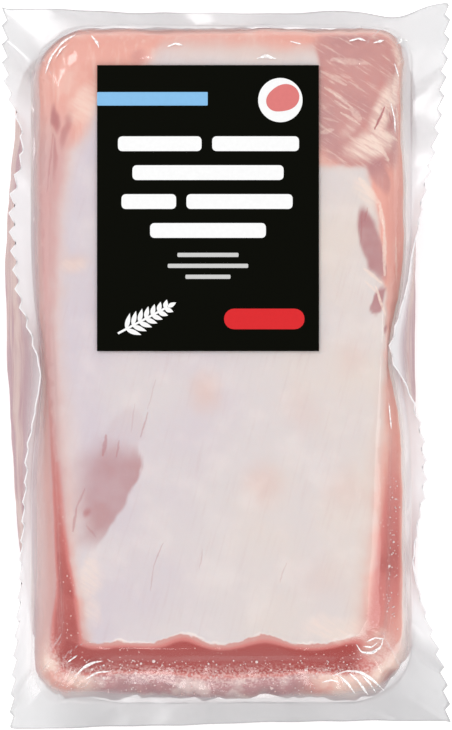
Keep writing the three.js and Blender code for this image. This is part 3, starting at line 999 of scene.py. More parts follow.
def meat_material(colours):
    """Wet pork: white skin, lean, fat streaks, creases, juice in the groove and the striped belly."""
    material, shade = new_material("wet_pork")
    tint = {key: linear(getattr(colours, key)) for key in PackColours.__annotations__}
    in_mm = ring_millimetres(shade)
    sharp = seen_from_above(shade, in_mm, 0.5, 3)

    def over(base, mask, top, strength=1.0):
        return shade.mix(shade.math("MULTIPLY", mask, strength), base, top)

    broad = shade.noise(in_mm, 0.03, 2.0)
    lumps = shade.noise(in_mm, 0.1, 3.0)
    veins = shade.noise(shade.stretched(in_mm, (7, 1.1, 3), -33), 1.0, 4.0, 0.6)
    fibre = shade.noise(shade.stretched(in_mm, (1.0, 14, 3), -15), 1.0, 3.0, 0.55)
    grain = shade.noise(shade.stretched(in_mm, (1.6, 11, 1.6)), 1.0, 3.0)
    fine = shade.noise(in_mm, 1.3, 3.0, 0.6)
    parts = shade.add("ShaderNodeSeparateXYZ")
    shade.feed(parts.inputs[0], in_mm)
    x_place = parts.outputs[0]
    on_face, juice, lip, belly = (shade.attribute(name) for name in ("on_face", "juice", "lip", "belly"))
    low_end, high_end = shade.attribute("low_end"), shade.attribute("high_end")

    # Lean: salmon with paler places, and rosy with pale veins at the marbled end.
    lean = over(tint["lean"], shade.spread(lumps, 0.48, 0.7), tint["fat"], 0.25)
    lean = over(lean, shade.spread(grain, 0.5, 0.75), tint["fat"], 0.25)
    rosy = over(tint["rose"], shade.spread(lumps, 0.46, 0.62), tint["mauve"], 0.4)
    rosy = over(rosy, shade.spread(veins, 0.52, 0.74), tint["fat"], 0.5)
    rosy = over(rosy, shade.spread(lumps, 0.42, 0.28), tint["blood"], 0.25)
    lean = over(lean, shade.attribute("rosy"), rosy, 0.95)
    dusky = shade.attribute("dusky")
    lean = over(lean, shade.math("MAXIMUM", low_end, dusky), tint["rose"], 0.65)
    lean = over(lean, dusky, tint["skin_cool"], 0.25)

    # The lip: pale, salmon and cream at the ends, and mauve and torn at the middle of the low end.
    outer = shade.mix(shade.spread(x_place, -20.0, 20.0), tint["lip"], tint["hem"])
    outer = over(outer, high_end, tint["lean"], 0.6)
    outer = over(outer, low_end, over(tint["lean"], shade.spread(lumps, 0.4, 0.58), tint["fat"], 0.8))
    torn = over(tint["lip_mauve"], shade.spread(lumps, 0.48, 0.64), tint["hem"], 0.55)
    torn = over(torn, shade.spread(fine, 0.55, 0.7), tint["cream"], 0.6)
    outer = over(outer, shade.attribute("mauve_lip"), torn)
    wandering = shade.math("ADD", lip, shade.math("MULTIPLY", shade.math("SUBTRACT", lumps, 0.5), 0.5))
    lean = over(lean, shade.spread(wandering, 0.25, 0.75), outer, 0.9)

    # Juice, deepest in the low groove.
    pool = shade.math("ADD", juice, shade.math("MULTIPLY", shade.math("SUBTRACT", lumps, 0.5), 0.3))
    pool = shade.math("ADD", pool, shade.math("MULTIPLY", shade.math("SUBTRACT", fine, 0.5), 0.12))
    lean = over(lean, shade.spread(pool, 0.05, 0.6), tint["blood"], 0.95)
    lean = over(lean, shade.spread(pool, 0.55, 0.95), tint["juice"], 0.97)

    # The belly is striped along the pack.
    bands = shade.noise(shade.stretched(in_mm, (7, 70, 6)), 1.0, 3.0, 0.55)
    stripes = shade.mix(shade.spread(bands, 0.44, 0.6), tint["belly"], tint["cream"])
    stripes = over(stripes, shade.spread(grain, 0.5, 0.7), tint["mauve"], 0.4)
    body = shade.mix(belly, lean, stripes)

    # The white skin, lilac on the left and creamy on the right, with warm places and faint fibres.
    drift = shade.math("ADD", x_place, shade.math("MULTIPLY", shade.math("SUBTRACT", broad, 0.5), 110.0))
    skin = shade.mix(shade.spread(drift, -55.0, 5.0), tint["skin_cool"], tint["skin"])
    skin = shade.mix(shade.spread(drift, 0.0, 60.0), skin, tint["skin_cream"])
    skin = over(skin, shade.attribute("warm"), tint["skin_warm"], 0.85)
    skin = over(skin, shade.spread(lumps, 0.42, 0.75), tint["hem"], 0.2)
    skin = over(skin, shade.spread(fibre, 0.5, 0.8), tint["mauve"], 0.09)
    window = shade.math("MULTIPLY", shade.attribute("window"), shade.spread(lumps, 0.3, 0.62, 0.8, 1.0))
    side, low = shade.attribute("side"), shade.attribute("low")
    softness = shade.attribute("softness")
    side = shade.math("ADD", side, shade.math("MULTIPLY", shade.math("SUBTRACT", lumps, 0.5), 5.0))
    ragged = shade.noise(in_mm, 0.3, 4.0)
    low = shade.math("ADD", low, shade.math("MULTIPLY", shade.math("SUBTRACT", ragged, 0.5), 3.0))
    warm_rim = shade.spread(side, shade.math("MULTIPLY", softness, 2.2), 0.0)
    skin = over(skin, warm_rim, tint["skin_warm"], 0.6)
    cover = shade.math("MULTIPLY", shade.spread(side, shade.math("MULTIPLY", softness, -1.0), softness),
                       shade.spread(low, -0.3, 0.3))
    body = shade.mix(cover, body, skin)
    body = over(body, window, tint["mauve"], 1.0)
    body = over(body, shade.attribute("mark"), tint["crease"], 0.8)

    # Fat, the torn hem and the creases lie over both.
    fat = shade.math("MULTIPLY", streaks(shade, sharp, FAT_STREAKS), shade.spread(fine, 0.3, 0.6, 0.55, 1.0))
    creamy = shade.math("MULTIPLY", shade.attribute("creamy"), shade.spread(veins, 0.36, 0.6, 0.5, 1.0))
    body = over(body, creamy, tint["fat"], 0.9)
    body = over(body, shade.math("MULTIPLY", fat, on_face), tint["fat"])
    edge = shade.math("MULTIPLY", shade.spread(low, -0.4, 0.1), shade.spread(low, 0.9, 0.3))
    edge = shade.math("MULTIPLY", edge, shade.spread(lumps, 0.38, 0.6, 0.15, 1.0))
    edge = shade.math("MULTIPLY", shade.math("MULTIPLY", edge, shade.spread(side, 0.0, 3.0)), on_face)
    body = over(body, edge, tint["hem"], 0.65)
    body = over(body, shade.math("MULTIPLY", streaks(shade, sharp, CREASES), on_face), tint["crease"], 0.9)

    # Specks of foam where juice stands.
    cells = shade.add("ShaderNodeTexVoronoi", None, Scale=0.85, Randomness=1.0)
    shade.feed(cells.inputs["Vector"], in_mm)
    pick = shade.add("ShaderNodeSeparateColor")
    shade.feed(pick.inputs[0], cells.outputs["Color"])
    dot = shade.math("SUBTRACT", shade.math("MULTIPLY", pick.outputs[0], 0.3), cells.outputs["Distance"])
    dots = shade.spread(dot, 0.0, 0.06)
    wet = shade.math("MAXIMUM", shade.math("MULTIPLY", lip, low_end), juice)
    wet = shade.math("MULTIPLY", wet, shade.spread(lumps, 0.4, 0.6))
    body = over(body, shade.math("MULTIPLY", dots, wet), tint["foam"], 0.7)
    froth = shade.math("MULTIPLY", shade.attribute("froth"), shade.spread(fine, 0.4, 0.62))
    body = over(body, froth, tint["foam"], 0.5)

    height = shade.math("ADD", shade.math("MULTIPLY", lumps, 1.5), shade.math("MULTIPLY", fine, 0.35))
    bump = shade.add("ShaderNodeBump", None, Strength=0.3, Distance=0.0005, Height=height)
    roughness = shade.spread(fine, 0.2, 0.8, 0.38, 0.55)
    surface = shade.add("ShaderNodeBsdfPrincipled", None, Base_Color=body, Roughness=roughness)
    shade.feed(surface.inputs["Normal"], bump.outputs[0])
    surface.inputs["Subsurface Weight"].default_value = 0.12
    surface.inputs["Subsurface Radius"].default_value = (1.0, 0.45, 0.3)
    surface.inputs["Subsurface Scale"].default_value = 0.002
    surface.inputs["Specular IOR Level"].default_value = 0.3
    shade.output(surface)
    return material


# Folds in the film, as lines of places seen from above, each with its half width and height.
FILM_FOLDS = [
    ([(33.6, -97.2), (37.5, -95.6), (42.0, -96.0), (46.0, -98.6), (49.6, -102.2)], 0.42, 0.5),
    ([(35.2, -96.9), (38.0, -99.6), (40.6, -103.2)], 0.34, 0.4),
    ([(38.6, -96.4), (41.6, -99.2), (44.6, -103.6)], 0.38, 0.5),
    ([(42.6, -97.2), (45.0, -99.6), (47.0, -102.8)], 0.3, 0.35),
    ([(30.0, -99.4), (33.0, -98.6), (35.4, -99.4)], 0.26, 0.3),
    ([(40.6, -87.0), (42.2, -89.6), (45.6, -90.0), (48.6, -88.0), (49.0, -85.2)], 0.4, 0.5),
    ([(43.8, -86.2), (46.6, -85.0), (49.4, -85.6)], 0.3, 0.35),
    ([(42.6, -87.6), (45.4, -88.0), (47.2, -86.6)], 0.26, 0.3),
    ([(-47.5, -97.8), (-44.6, -94.6), (-41.6, -93.0), (-38.4, -92.4)], 0.4, 0.5),
    ([(-44.0, -98.4), (-40.5, -96.2), (-36.0, -95.8)], 0.3, 0.4),
    ([(-49.6, -93.0), (-46.4, -90.6)], 0.26, 0.3),
    ([(-56.4, 91.0), (-54.6, 96.2), (-51.0, 100.8), (-47.0, 103.2)], 0.34, 0.4),
    ([(-53.2, 95.6), (-51.4, 98.4), (-49.4, 100.0)], 0.26, 0.3),
    ([(-42.0, 102.8), (-40.0, 100.2), (-39.6, 98.8)], 0.36, 0.4),
    ([(-18.2, 99.2), (-15.8, 100.2), (-13.4, 99.6)], 0.34, 0.4),
    ([(9.6, 95.4), (12.4, 96.2), (15.6, 95.3)], 0.5, 0.4),
    ([(20.0, 100.9), (23.4, 100.0)], 0.24, 0.25),
    ([(38.4, 101.0), (41.4, 101.9), (43.6, 101.0)], 0.36, 0.4),
    ([(46.0, 100.4), (49.4, 101.4)], 0.34, 0.4),
    ([(53.4, 100.2), (55.4, 102.4), (57.0, 102.0)], 0.36, 0.4),
    ([(52.6, 94.0), (54.0, 90.0)], 0.24, 0.3),
    ([(51.4, 81.6), (52.6, 77.0), (52.8, 72.4)], 0.24, 0.3),
    ([(50.8, -12.0), (51.6, -20.0)], 0.22, 0.25),
]


# How milky film sends light back: free, in the seal, at the seal's low end, darker as painted shade, and
# standing up, lighter as painted light
MILK = SimpleNamespace(
    free=(0.86, 0.855, 0.87, 1),
    seal=(0.61, 0.61, 0.62, 1),
    shaded=(0.49, 0.485, 0.495, 1),
    standing_painted_light=(0.86, 0.85, 0.865, 1),
)
MOST_MILK = 0.92
MOST_SHINE = 0.06
FILM_TINT = (0.985, 0.985, 0.987, 1)
CREASE_TINT = (0.98, 0.98, 0.98, 1)
# The folds' milk, near white partly as a painted highlight, and its faint glow, a painted highlight
CREASE_MILK_AND_HIGHLIGHT = (0.85, 0.84, 0.84, 1)
CREASE_PAINTED_HIGHLIGHT = SimpleNamespace(tint=(1, 0.97, 0.95, 1), strength=0.3)
SHINE_TINT = (1, 1, 1, 1)
FOAM_DARK, FOAM_PALE = (0.72, 0.45, 0.42, 1), (0.86, 0.74, 0.72, 1)


def film_material():
    """Clear film: it lets light through, shines, and is milky where two sheets are welded, creased or cut; on
    creases the milk is partly a painted highlight.
    """
    material, shade = new_material("clear_film")
    in_mm = ring_millimetres(shade)
    across, strip, fold, lip = (shade.attribute(name) for name in ("across", "strip", "fold", "lip"))
    shaded = shade.attribute("shaded")
    ripple = shade.noise(shade.stretched(in_mm, (9, 18, 9)), 1.0, 2.0)
    crinkle = shade.noise(in_mm, 0.4, 2.0)
    cloud = shade.noise(shade.stretched(in_mm, (30, 55, 30)), 1.0, 2.0)
    ribs = shade.math("SINE", shade.math("MULTIPLY", across, 80.0))
    ribs = shade.math("MULTIPLY", ribs, shade.attribute("welded"))
    height = shade.math("ADD", ripple, shade.math("MULTIPLY", crinkle, 0.12))
    height = shade.math("ADD", height, shade.math("MULTIPLY", ribs, 0.1))
    bump = shade.add("ShaderNodeBump", None, Strength=0.5, Distance=0.0005, Height=height)
    veil = shade.spread(cloud, 0.35, 0.65, 0.015, 0.04)
    for mask, strength in (
        (lip, 1.0),
        (strip, shade.spread(cloud, 0.3, 0.7, 0.35, 0.42)),
        # More milk where the strip stands up, as painted light.
        (shade.attribute("standing_painted_light"), 0.25),
        # More milk at the seal's low end and the middle of its top end, as painted shade.
        (shaded, 0.1),
        (ribs, 0.05),
        (shade.spread(across, 0.955, 0.99), 0.5),
        # More milk on the folds' ridges: partly the milk of creased film, partly a painted highlight.
        (shade.spread(fold, 0.45, 1.0), 0.4),
    ):
        veil = shade.math("ADD", veil, shade.math("MULTIPLY", mask, strength))
    veil = shade.math("MINIMUM", veil, MOST_MILK)
    clear = shade.add("ShaderNodeBsdfTransparent", None, Color=FILM_TINT)
    milk_colour = shade.mix(strip, MILK.free, MILK.seal)
    # Painted shade: darker milk at the seal's low end and the middle of its top end.
    milk_colour = shade.mix(shaded, milk_colour, MILK.shaded)
    # Painted light: lighter milk where the strip stands up.
    milk_colour = shade.mix(shade.attribute("standing_painted_light"), milk_colour, MILK.standing_painted_light)
    milk = shade.add("ShaderNodeBsdfDiffuse", None, Color=milk_colour)
    sheet = shade.add("ShaderNodeMixShader")
    shade.feed(sheet.inputs[0], veil)
    shade.feed(sheet.inputs[1], clear.outputs[0])
    shade.feed(sheet.inputs[2], milk.outputs[0])
    shine = shade.add("ShaderNodeBsdfGlossy", None, Color=SHINE_TINT, Normal=bump.outputs[0])
    shade.feed(shine.inputs["Roughness"], shade.spread(strip, 0.0, 1.0, 0.1, 0.22))
    fresnel = shade.add("ShaderNodeFresnel", None, IOR=1.42, Normal=bump.outputs[0])
    whole = shade.add("ShaderNodeMixShader")
    shade.feed(whole.inputs[0], shade.math("MINIMUM", fresnel.outputs[0], MOST_SHINE))
    shade.feed(whole.inputs[1], sheet.outputs[0])
    shade.feed(whole.inputs[2], shine.outputs[0])
    shade.output(whole)
    return material


def crease_material():
    """Film bunched up in a fold: bright, half clear and shiny; its near-white milk and faint glow are partly
    a painted highlight.
    """
    material, shade = new_material("film_crease")
    speckle = shade.noise(ring_millimetres(shade), 0.9, 2.0)
    clear = shade.add("ShaderNodeBsdfTransparent", None, Color=CREASE_TINT)
    # Painted highlight: the fold's milk is nearly white and glows a little.
    milk = shade.add("ShaderNodeAddShader")
    diffuse = shade.add("ShaderNodeBsdfDiffuse", None, Color=CREASE_MILK_AND_HIGHLIGHT)
    painted_highlight = shade.add("ShaderNodeEmission", None, Color=CREASE_PAINTED_HIGHLIGHT.tint, Strength=CREASE_PAINTED_HIGHLIGHT.strength)
    shade.feed(milk.inputs[0], diffuse.outputs[0])
    shade.feed(milk.inputs[1], painted_highlight.outputs[0])
    sheet = shade.add("ShaderNodeMixShader")
    shade.feed(sheet.inputs[0], shade.spread(speckle, 0.35, 0.65, 0.35, 0.9))
    shade.feed(sheet.inputs[1], clear.outputs[0])
    shade.feed(sheet.inputs[2], milk.outputs[0])
    shine = shade.add("ShaderNodeBsdfGlossy", None, Color=SHINE_TINT, Roughness=0.25)
    fresnel = shade.add("ShaderNodeFresnel", None, IOR=1.5)
    whole = shade.add("ShaderNodeMixShader")
    shade.feed(whole.inputs[0], fresnel.outputs[0])
    shade.feed(whole.inputs[1], sheet.outputs[0])
    shade.feed(whole.inputs[2], shine.outputs[0])
    shade.output(whole)
    return material


def grain_group():
    """Fine even grain, for paper, ink and the floor."""
    tree, shade, given, result = new_group("Fine Grain", {
        "Place": ("NodeSocketVector", (0, 0, 0)),
        "Scale": ("NodeSocketFloat", 900.0),
        "Low": ("NodeSocketFloat", 0.0),
        "High": ("NodeSocketFloat", 1.0),
    }, "Value")
    node = shade.add("ShaderNodeTexNoise", None, Detail=3.0)
    shade.feed(node.inputs["Vector"], given["Place"])
    shade.feed(node.inputs["Scale"], given["Scale"])
    shade.feed(result, shade.spread(node.outputs["Fac"], 0.25, 0.75, given["Low"], given["High"]))
    return tree


def satin_material(name, shown, roughness, grain, gain=1.0, scale=900.0, specular=0.3):
    """A satin surface whose shade and gloss vary a little with a fine grain."""
    material, shade = new_material(name)
    place = shade.add("ShaderNodeTexCoord").outputs["Object"]
    base = linear(shown, gain)
    darker = tuple(c * 0.965 for c in base[:3]) + (1.0,)
    share = shade.group(grain, Place=place, Scale=scale, Low=0.0, High=1.0)
    gloss = shade.group(grain, Place=place, Scale=scale * 1.7, Low=roughness - 0.05, High=roughness + 0.05)
    surface = shade.add(
        "ShaderNodeBsdfPrincipled", None, Base_Color=shade.mix(share, darker, base), Roughness=gloss
    )
    surface.inputs["Specular IOR Level"].default_value = specular
    shade.output(surface)
    return material


FLOOR_GLOW = 0.34


def floor_material(shown):
    """A white table, lit a little from below as product tables are, so that it shows no hard shadow."""
    material = satin_material("lit_table", shown, 0.7, grain_group(), 1, 60)
    surface = next(node for node in material.node_tree.nodes if node.type == "BSDF_PRINCIPLED")
    surface.inputs["Emission Color"].default_value = (1, 1, 1, 1)
    surface.inputs["Emission Strength"].default_value = FLOOR_GLOW
    return material


def foam_material():
    """Small bubbles in the juice, pale and shiny."""
    material, shade = new_material("foam")
    place = shade.add("ShaderNodeTexCoord").outputs["Object"]
    speckle = shade.noise(place, 700.0)
    base = shade.mix(shade.spread(speckle, 0.35, 0.65), FOAM_DARK, FOAM_PALE)
    surface = shade.add("ShaderNodeBsdfPrincipled", None, Base_Color=base)
    surface.inputs["Roughness"].default_value = 0.15
    shade.output(surface)
    return material


def add_fold(film, line, half_width, tall, vertices, faces):
    """One fold: a low ridge that follows the film's top under a line, and tapers to its ends."""
    reach = np.concatenate([[0], np.cumsum(np.hypot(*np.diff(line, axis=0).T))])
    along = np.linspace(0, reach[-1], FOLD_STEPS + 1)
    x, y = (np.interp(along, reach, line[:, i]) for i in (0, 1))
    for _ in range(3):
        x[1:-1] = (x[:-2] + 2 * x[1:-1] + x[2:]) / 4
        y[1:-1] = (y[:-2] + 2 * y[1:-1] + y[2:]) / 4
    slope = np.stack([np.gradient(x), np.gradient(y)], axis=1)
    slope /= np.linalg.norm(slope, axis=1, keepdims=True)
    first = len(vertices)
    for i in range(FOLD_STEPS + 1):
        share = i / FOLD_STEPS
        swell = math.sin(math.pi * min(max(share, 0.02), 0.98)) ** 0.6
        swell *= 1 + 0.25 * math.sin(9 * share + line[0][0])
        for side, lift in ((-1, -0.12), (-0.35, 0.8), (0.1, 1.0), (1, -0.12), (0, -0.5)):
            px = x[i] - slope[i, 1] * side * half_width * swell
            py = y[i] + slope[i, 0] * side * half_width * swell
            at = in_place(np.array([px, py, 60.0]))
            hit, place, _, _ = film.ray_cast(Vector(at), Vector((0, 0, -1)))
            if not hit:
                raise RuntimeError("A fold lies off the film.")
            vertices.append((place.x, place.y, place.z + lift * 0.6 * tall * swell * MM))
    ring = 5
    for i in range(FOLD_STEPS):
        for k in range(ring):
            a, b = first + i * ring + k, first + i * ring + (k + 1) % ring
            faces.append((a, b, b + ring, a + ring))
    faces.append(tuple(first + k for k in reversed(range(ring))))
    faces.append(tuple(first + FOLD_STEPS * ring + k for k in range(ring)))


class LOIN_OT_meat(bpy.types.Operator):
    """Model the piece of loin, pressed into shape by the film"""

    bl_idname = "loin.meat"
    bl_label = "Loin Meat"

    def execute(self, context):
        points, masks = meat_shape(context.scene.pack_sizes)
        meat = wrapped_skin("loin_meat", points, masks)
        in_frame(meat, meat_material(context.scene.pack_colours), "film_and_meat", "sealed_pack")
        return {"FINISHED"}


class LOIN_OT_film(bpy.types.Operator):
    """Model the clear film, drawn tight over the meat and welded to a toothed strip"""

    bl_idname = "loin.film"
    bl_label = "Clear Film"

    def execute(self, context):
        points, masks = film_shape(context.scene.pack_sizes)
        film = wrapped_skin("clear_film", points, masks)
        in_frame(film, film_material(), "film_and_meat", "sealed_pack")
        return {"FINISHED"}


class LOIN_OT_creases(bpy.types.Operator):
    """Raise the folds that catch the light in the film, most of them at its corners, with a painted highlight
    on them
    """

    bl_idname = "loin.creases"
    bl_label = "Film Creases"

    def execute(self, context):
        film = bpy.data.objects["clear_film"]
        vertices, faces = [], []
        for line, half_width, tall in FILM_FOLDS:
            add_fold(film, np.array(line, float), half_width, tall, vertices, faces)
        start_fresh()
        bpy.ops.mesh.primitive_cube_add(size=1)
        creases = named("film_creases")
        mesh = bpy.data.meshes.new("film_creases")
        mesh.from_pydata(vertices, [], faces)
        creases.data = mesh
        bpy.ops.object.mode_set(mode="EDIT")
        bpy.ops.mesh.select_all(action="SELECT")
        bpy.ops.mesh.normals_make_consistent(inside=False)
        bpy.ops.object.mode_set(mode="OBJECT")
        bpy.ops.object.shade_smooth_by_angle(angle=math.radians(60))
        in_frame(creases, crease_material(), "film_and_meat", "sealed_pack")
        return {"FINISHED"}


class LOIN_OT_foam(bpy.types.Operator):
    """Scatter small beads of foam along the juice at the low end"""

    bl_idname = "loin.foam"
    bl_label = "Foam Beads"

    def execute(self, context):
        sizes = context.scene.pack_sizes
        points, _ = meat_shape(sizes)
        normals = skin_normals(points)
        start_fresh()
        bpy.ops.mesh.primitive_uv_sphere_add(segments=8, ring_count=5, radius=1)
        foam = named("foam_beads")
        ball = np.array([v.co for v in foam.data.vertices])
        faces = [tuple(face.vertices) for face in foam.data.polygons]
        rng = np.random.default_rng(SEEDS.foam)
        vertices, polygons = [], []
        for n in range(sizes.foam_beads):
            low_end = rng.random() < 0.82
            column = rng.uniform(BOTTOM + 1, COLUMNS - 1.5) if low_end else rng.uniform(3, 12)
            past_face = rng.uniform(28, 46) if low_end else rng.uniform(26, 37)
            row = int(MEAT_FACE_ROWS + past_face)
            k = int(column * MEAT_STEPS)
            radius = rng.uniform(0.12, 0.3) * (1 + (rng.random() < 0.06))
            at = points[row, k] + normals[row, k] * 0.12 + rng.normal(0, 0.25, 3) * (1, 1, 0)
            polygons += [tuple(i + len(vertices) * len(ball) for i in face) for face in faces]
            vertices.append(in_place(at + ball * radius))
        mesh = bpy.data.meshes.new("foam_beads")
        mesh.from_pydata(np.concatenate(vertices).tolist(), [], polygons)
        foam.data = mesh
        bpy.ops.object.shade_smooth()
        in_frame(foam, foam_material(), "film_and_meat", "sealed_pack")
        return {"FINISHED"}


class LOIN_OT_label(bpy.types.Operator):
    """Model the label, a thin sheet bent to the top face"""

    bl_idname = "loin.label"
    bl_label = "Label Sheet"

    def execute(self, context):
        sizes = context.scene.pack_sizes
        start_fresh()
        bpy.ops.mesh.primitive_grid_add(x_subdivisions=36, y_subdivisions=46, size=1)
        label = named("label_sheet")
        flat = np.array([v.co for v in label.data.vertices])
        x = flat[:, 0] * sizes.label_width / MM + sizes.label_x / MM
        y = flat[:, 1] * sizes.label_length / MM + sizes.label_y / MM
        z = top_face_height(x, y) + sizes.label_gap / MM
        bent = in_place(np.stack([x, y, z], axis=1))
        label.data.vertices.foreach_set("co", bent.astype(np.float32).ravel())
        solidify = label.modifiers.new("thickness", "SOLIDIFY")
        solidify.thickness = sizes.label_thickness
        solidify.offset = 1
        bpy.ops.object.modifier_apply(modifier="thickness")
        bpy.ops.object.shade_smooth_by_angle(angle=math.radians(40))
        shown = context.scene.pack_colours.label
        material = satin_material("black_label", shown, 0.5, grain_group(), LABEL_GAIN, specular=0.01)
        in_frame(label, material, "label", "label")
        return {"FINISHED"}


# Ink on the label: its thickness, and how far it stands off the label, in millimetres
INK_THICKNESS = 0.04
INK_LIFT = 0.02
SLICE_LIFT = 0.05
INK_GAIN = 0.85
LABEL_GAIN = 0.6

# The print, in millimetres from the middle of the label: plain bars, a disc, a sprig and a slice
# of meat.
HEADING_BARS = [
    (-15.0, 20.0, 26, 4.6),
    (14.8, 20.0, 27, 4.6),
    (0, 11.0, 47, 4.6),
    (-18.4, 2.0, 17, 4.6),
    (9.8, 2.0, 33, 4.6),
    (0, -7.0, 36, 4.6),
]
SMALL_BARS = [(0, -14.6, 19, 1.3), (0, -18.0, 25, 1.3), (0, -21.4, 14, 1.3)]
BLUE_BAND = (-17.3, 34.0, 34.4, 4.2)
RED_FIELD = (17.5, -34.5, 25, 6.4)
DISC = (22.5, 33.6, 6.9)
SPRIG = (-28.0, -39.0, 17.5)


def print_piece(name, outlines, context):
    """A thin printed patch: outlines filled, made fine enough to follow the label, and laid on it."""
    sizes = context.scene.pack_sizes
    start_fresh()
    bpy.ops.mesh.primitive_plane_add(size=1)
    piece = named(name)
    vertices, faces = [], []
    for grid in outlines:
        rows, columns = grid.shape[:2]
        first = len(vertices)
        vertices += grid.reshape(-1, 2).tolist()
        for r in range(rows - 1):
            for c in range(columns - 1):
                a = first + r * columns + c
                faces.append((a, a + 1, a + columns + 1, a + columns))
    place = np.array(vertices)
    x = place[:, 0] + sizes.label_x / MM
    y = place[:, 1] + sizes.label_y / MM
    z = top_face_height(x, y) + (sizes.label_gap + sizes.label_thickness) / MM + INK_LIFT
    mesh = bpy.data.meshes.new(name)
    mesh.from_pydata(in_place(np.stack([x, y, z], axis=1)).tolist(), [], faces)
    piece.data = mesh
    solidify = piece.modifiers.new("ink", "SOLIDIFY")
    solidify.thickness = INK_THICKNESS * MM
    solidify.offset = 1
    bpy.ops.object.modifier_apply(modifier="ink")
    bpy.ops.object.mode_set(mode="EDIT")
    bpy.ops.mesh.select_all(action="SELECT")
    bpy.ops.mesh.remove_doubles(threshold=1e-7)
    bpy.ops.mesh.normals_make_consistent(inside=False)
    bpy.ops.object.mode_set(mode="OBJECT")
    bpy.ops.object.shade_smooth_by_angle(angle=math.radians(30))
    return piece


def bar(x, y, width, tall, round_by=None):
    """A bar with rounded corners, as a grid of points."""
    round_by = tall * 0.28 if round_by is None else round_by
    t = np.sin(np.linspace(-np.pi / 2, np.pi / 2, 11))
    s = np.linspace(-1, 1, max(3, int(width / 2.5)))
    depth = np.maximum(0, np.abs(t) * tall / 2 - (tall / 2 - round_by))
    inset = round_by - np.sqrt(np.maximum(0, round_by**2 - depth**2))
    half = width / 2 - inset
    return np.stack([x + s[None, :] * half[:, None], y + (t * tall / 2)[:, None] + 0 * s[None, :]], axis=-1)


def blob(x, y, radius, lean=0.0):
    """A filled round shape, from a square grid drawn into a disc. radius gives its size in each direction."""
    a, b = np.meshgrid(np.linspace(-1, 1, 13), np.linspace(-1, 1, 13))
    u, v = a * np.sqrt(1 - b * b / 2), b * np.sqrt(1 - a * a / 2)
    reach = radius(np.arctan2(v, u) - lean)
    return np.stack([x + u * reach, y + v * reach], axis=-1)


def leaf(x, y, long, wide, lean):
    """A slim leaf that starts at a point and lies at an angle."""
    along = np.linspace(0.02, 0.98, 9)
    side = np.linspace(-1, 1, 5)
    half = wide / 2 * np.sin(np.pi * along**0.8)
    u = along[:, None] * long + 0 * side[None, :]
    v = half[:, None] * side[None, :]
    turned = (x + u * np.cos(lean) - v * np.sin(lean), y + u * np.sin(lean) + v * np.cos(lean))
    return np.stack(turned, axis=-1)


def sprig_shapes():
    """A herb sprig: a stem with pairs of slim leaves, getting shorter towards its tip."""
    x, y, long = SPRIG
    lean = math.radians(28)
    shapes = [bar(0, 0, long, 0.7)]
    turn = np.array([[math.cos(lean), math.sin(lean)], [-math.sin(lean), math.cos(lean)]])
    shapes[0] = (shapes[0] + (long / 2, 0)) @ turn + (x, y)
    for i in range(7):
        share = 0.16 + 0.13 * i
        at = (x + long * share * math.cos(lean), y + long * share * math.sin(lean))
        size = 5.2 - 0.38 * i
        for side in (1, -1):
            shapes.append(leaf(at[0], at[1], size, 1.5, lean + side * math.radians(48)))
    shapes.append(leaf(x + long * math.cos(lean), y + long * math.sin(lean), 3, 1.4, lean))
    return shapes


class LOIN_OT_print(bpy.types.Operator):
    """Print the label with plain bars, a band, a disc with a slice of meat, and a sprig"""

    bl_idname = "loin.print"
    bl_label = "Label Print"

    def execute(self, context):
        colours = context.scene.pack_colours
        grain = grain_group()
        disc_x, disc_y, disc_r = DISC
        prints = {
            "print_white": [bar(*row) for row in HEADING_BARS]
            + [blob(disc_x, disc_y, lambda a: disc_r + 0 * a)] + sprig_shapes(),
            "print_grey": [bar(*row) for row in SMALL_BARS],
            "print_red": [bar(*RED_FIELD, round_by=3.1)],
            "print_blue": [bar(*BLUE_BAND, round_by=0.2)],
        }
        for name, outlines in prints.items():
            piece = print_piece(name, outlines, context)
            material = satin_material(name, getattr(colours, name), 0.4, grain, INK_GAIN)
            in_frame(piece, material, "label")
        slice_shape = blob(disc_x, disc_y, lambda a: 4.6 + 0.9 * np.cos(a) + 0.7 * np.cos(2 * a + 0.6), 0.7)
        piece = print_piece("print_slice", [slice_shape], context)
        piece.data.transform(Matrix.Translation((0, 0, SLICE_LIFT * MM)))
        in_frame(piece, satin_material("print_pink", colours.print_pink, 0.4, grain, INK_GAIN), "label")
        return {"FINISHED"}


PHOTO = SimpleNamespace(width=452, height=730, millimetres_per_pixel=0.315)
CAMERA_ABOVE_SEAL = 1.2
SENSOR = 36.0
# Each soft light is its name, its place and size in metres, and its watts.
LIGHTS = [
    ("key_light", (-0.55, 0.65, 1.5), 0.5, 8.0),
    ("fill_light", (0.75, -0.35, 1.5), 0.7, 4.6),
    ("low_light", (-0.2, -1.1, 0.9), 0.3, 1.4),
]
AIR_BRIGHTNESS = 0.8
FLOOR_SIZE = 4


def area_light(name, place, size, watts):
    """A square soft light that faces the pack."""
    bpy.ops.object.light_add(type="AREA", location=place)
    light = named(name)
    light.data.shape = "SQUARE"
    light.data.size = size
    light.data.energy = watts
    light.rotation_euler = light.location.to_track_quat("Z", "Y").to_euler()


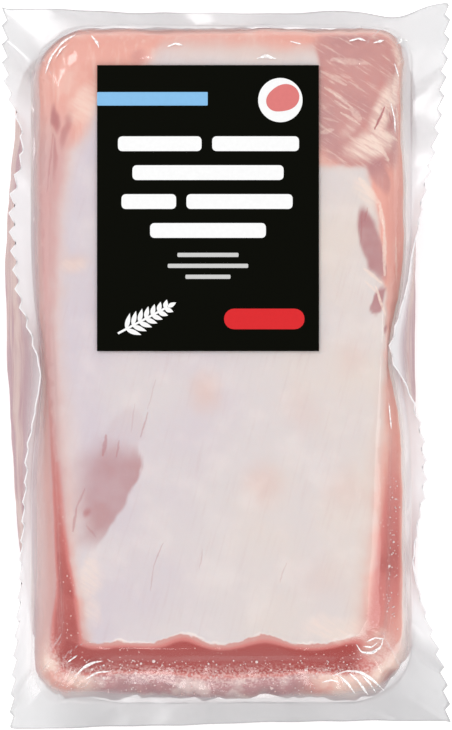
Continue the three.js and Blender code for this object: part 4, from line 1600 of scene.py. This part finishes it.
class LOIN_OT_studio(bpy.types.Operator):
    """Set up the floor, the soft lights and the camera that looks straight down"""

    bl_idname = "loin.studio"
    bl_label = "Studio"

    def execute(self, context):
        scene = context.scene
        start_fresh()
        bpy.ops.mesh.primitive_plane_add(size=FLOOR_SIZE)
        floor = named("floor")
        floor.data.materials.append(floor_material(scene.pack_colours.floor))
        for light in LIGHTS:
            area_light(*light)
        world = bpy.data.worlds.new("studio_air")
        world.use_nodes = True
        air = world.node_tree.nodes["Background"]
        air.inputs["Color"].default_value = (1, 1, 1, 1)
        air.inputs["Strength"].default_value = AIR_BRIGHTNESS
        scene.world = world
        view = PHOTO.height * PHOTO.millimetres_per_pixel * MM
        place = (-MIDDLE[0] * MM, -MIDDLE[1] * MM, SEAL_HEIGHT * MM + CAMERA_ABOVE_SEAL)
        bpy.ops.object.camera_add(location=place, rotation=(0, 0, 0))
        camera = named("camera")
        camera.data.sensor_width = SENSOR
        camera.data.lens = SENSOR * CAMERA_ABOVE_SEAL / view
        camera.data.clip_start = 0.05
        scene.camera = camera
        scene.view_settings.view_transform = "Standard"
        return {"FINISHED"}


class LOIN_PT_panel(bpy.types.Panel):
    """Lists the steps that build the pack"""

    bl_label = "Loin Pack"
    bl_idname = "LOIN_PT_panel"
    bl_space_type = "VIEW_3D"
    bl_region_type = "UI"
    bl_category = "Loin Pack"

    def draw(self, context):
        layout = self.layout
        for step in STEPS:
            layout.operator(step.bl_idname)
        sizes = layout.box()
        for key in PackSizes.__annotations__:
            sizes.prop(context.scene.pack_sizes, key)
        colours = layout.box()
        for key in PackColours.__annotations__:
            colours.prop(context.scene.pack_colours, key)


STEPS = (
    LOIN_OT_meat,
    LOIN_OT_film,
    LOIN_OT_creases,
    LOIN_OT_foam,
    LOIN_OT_label,
    LOIN_OT_print,
    LOIN_OT_studio,
)
CLASSES = (PackSizes, PackColours, *STEPS, LOIN_PT_panel)


def register():
    for cls in CLASSES:
        bpy.utils.register_class(cls)
    bpy.types.Scene.pack_sizes = PointerProperty(type=PackSizes)
    bpy.types.Scene.pack_colours = PointerProperty(type=PackColours)


def unregister():
    del bpy.types.Scene.pack_colours
    del bpy.types.Scene.pack_sizes
    for cls in reversed(CLASSES):
        bpy.utils.unregister_class(cls)


def main():
    register()
    bpy.ops.loin.meat()
    bpy.ops.loin.film()
    bpy.ops.loin.creases()
    bpy.ops.loin.foam()
    bpy.ops.loin.label()
    bpy.ops.loin.print()
    bpy.ops.loin.studio()


if __name__ == "__main__":
    main()
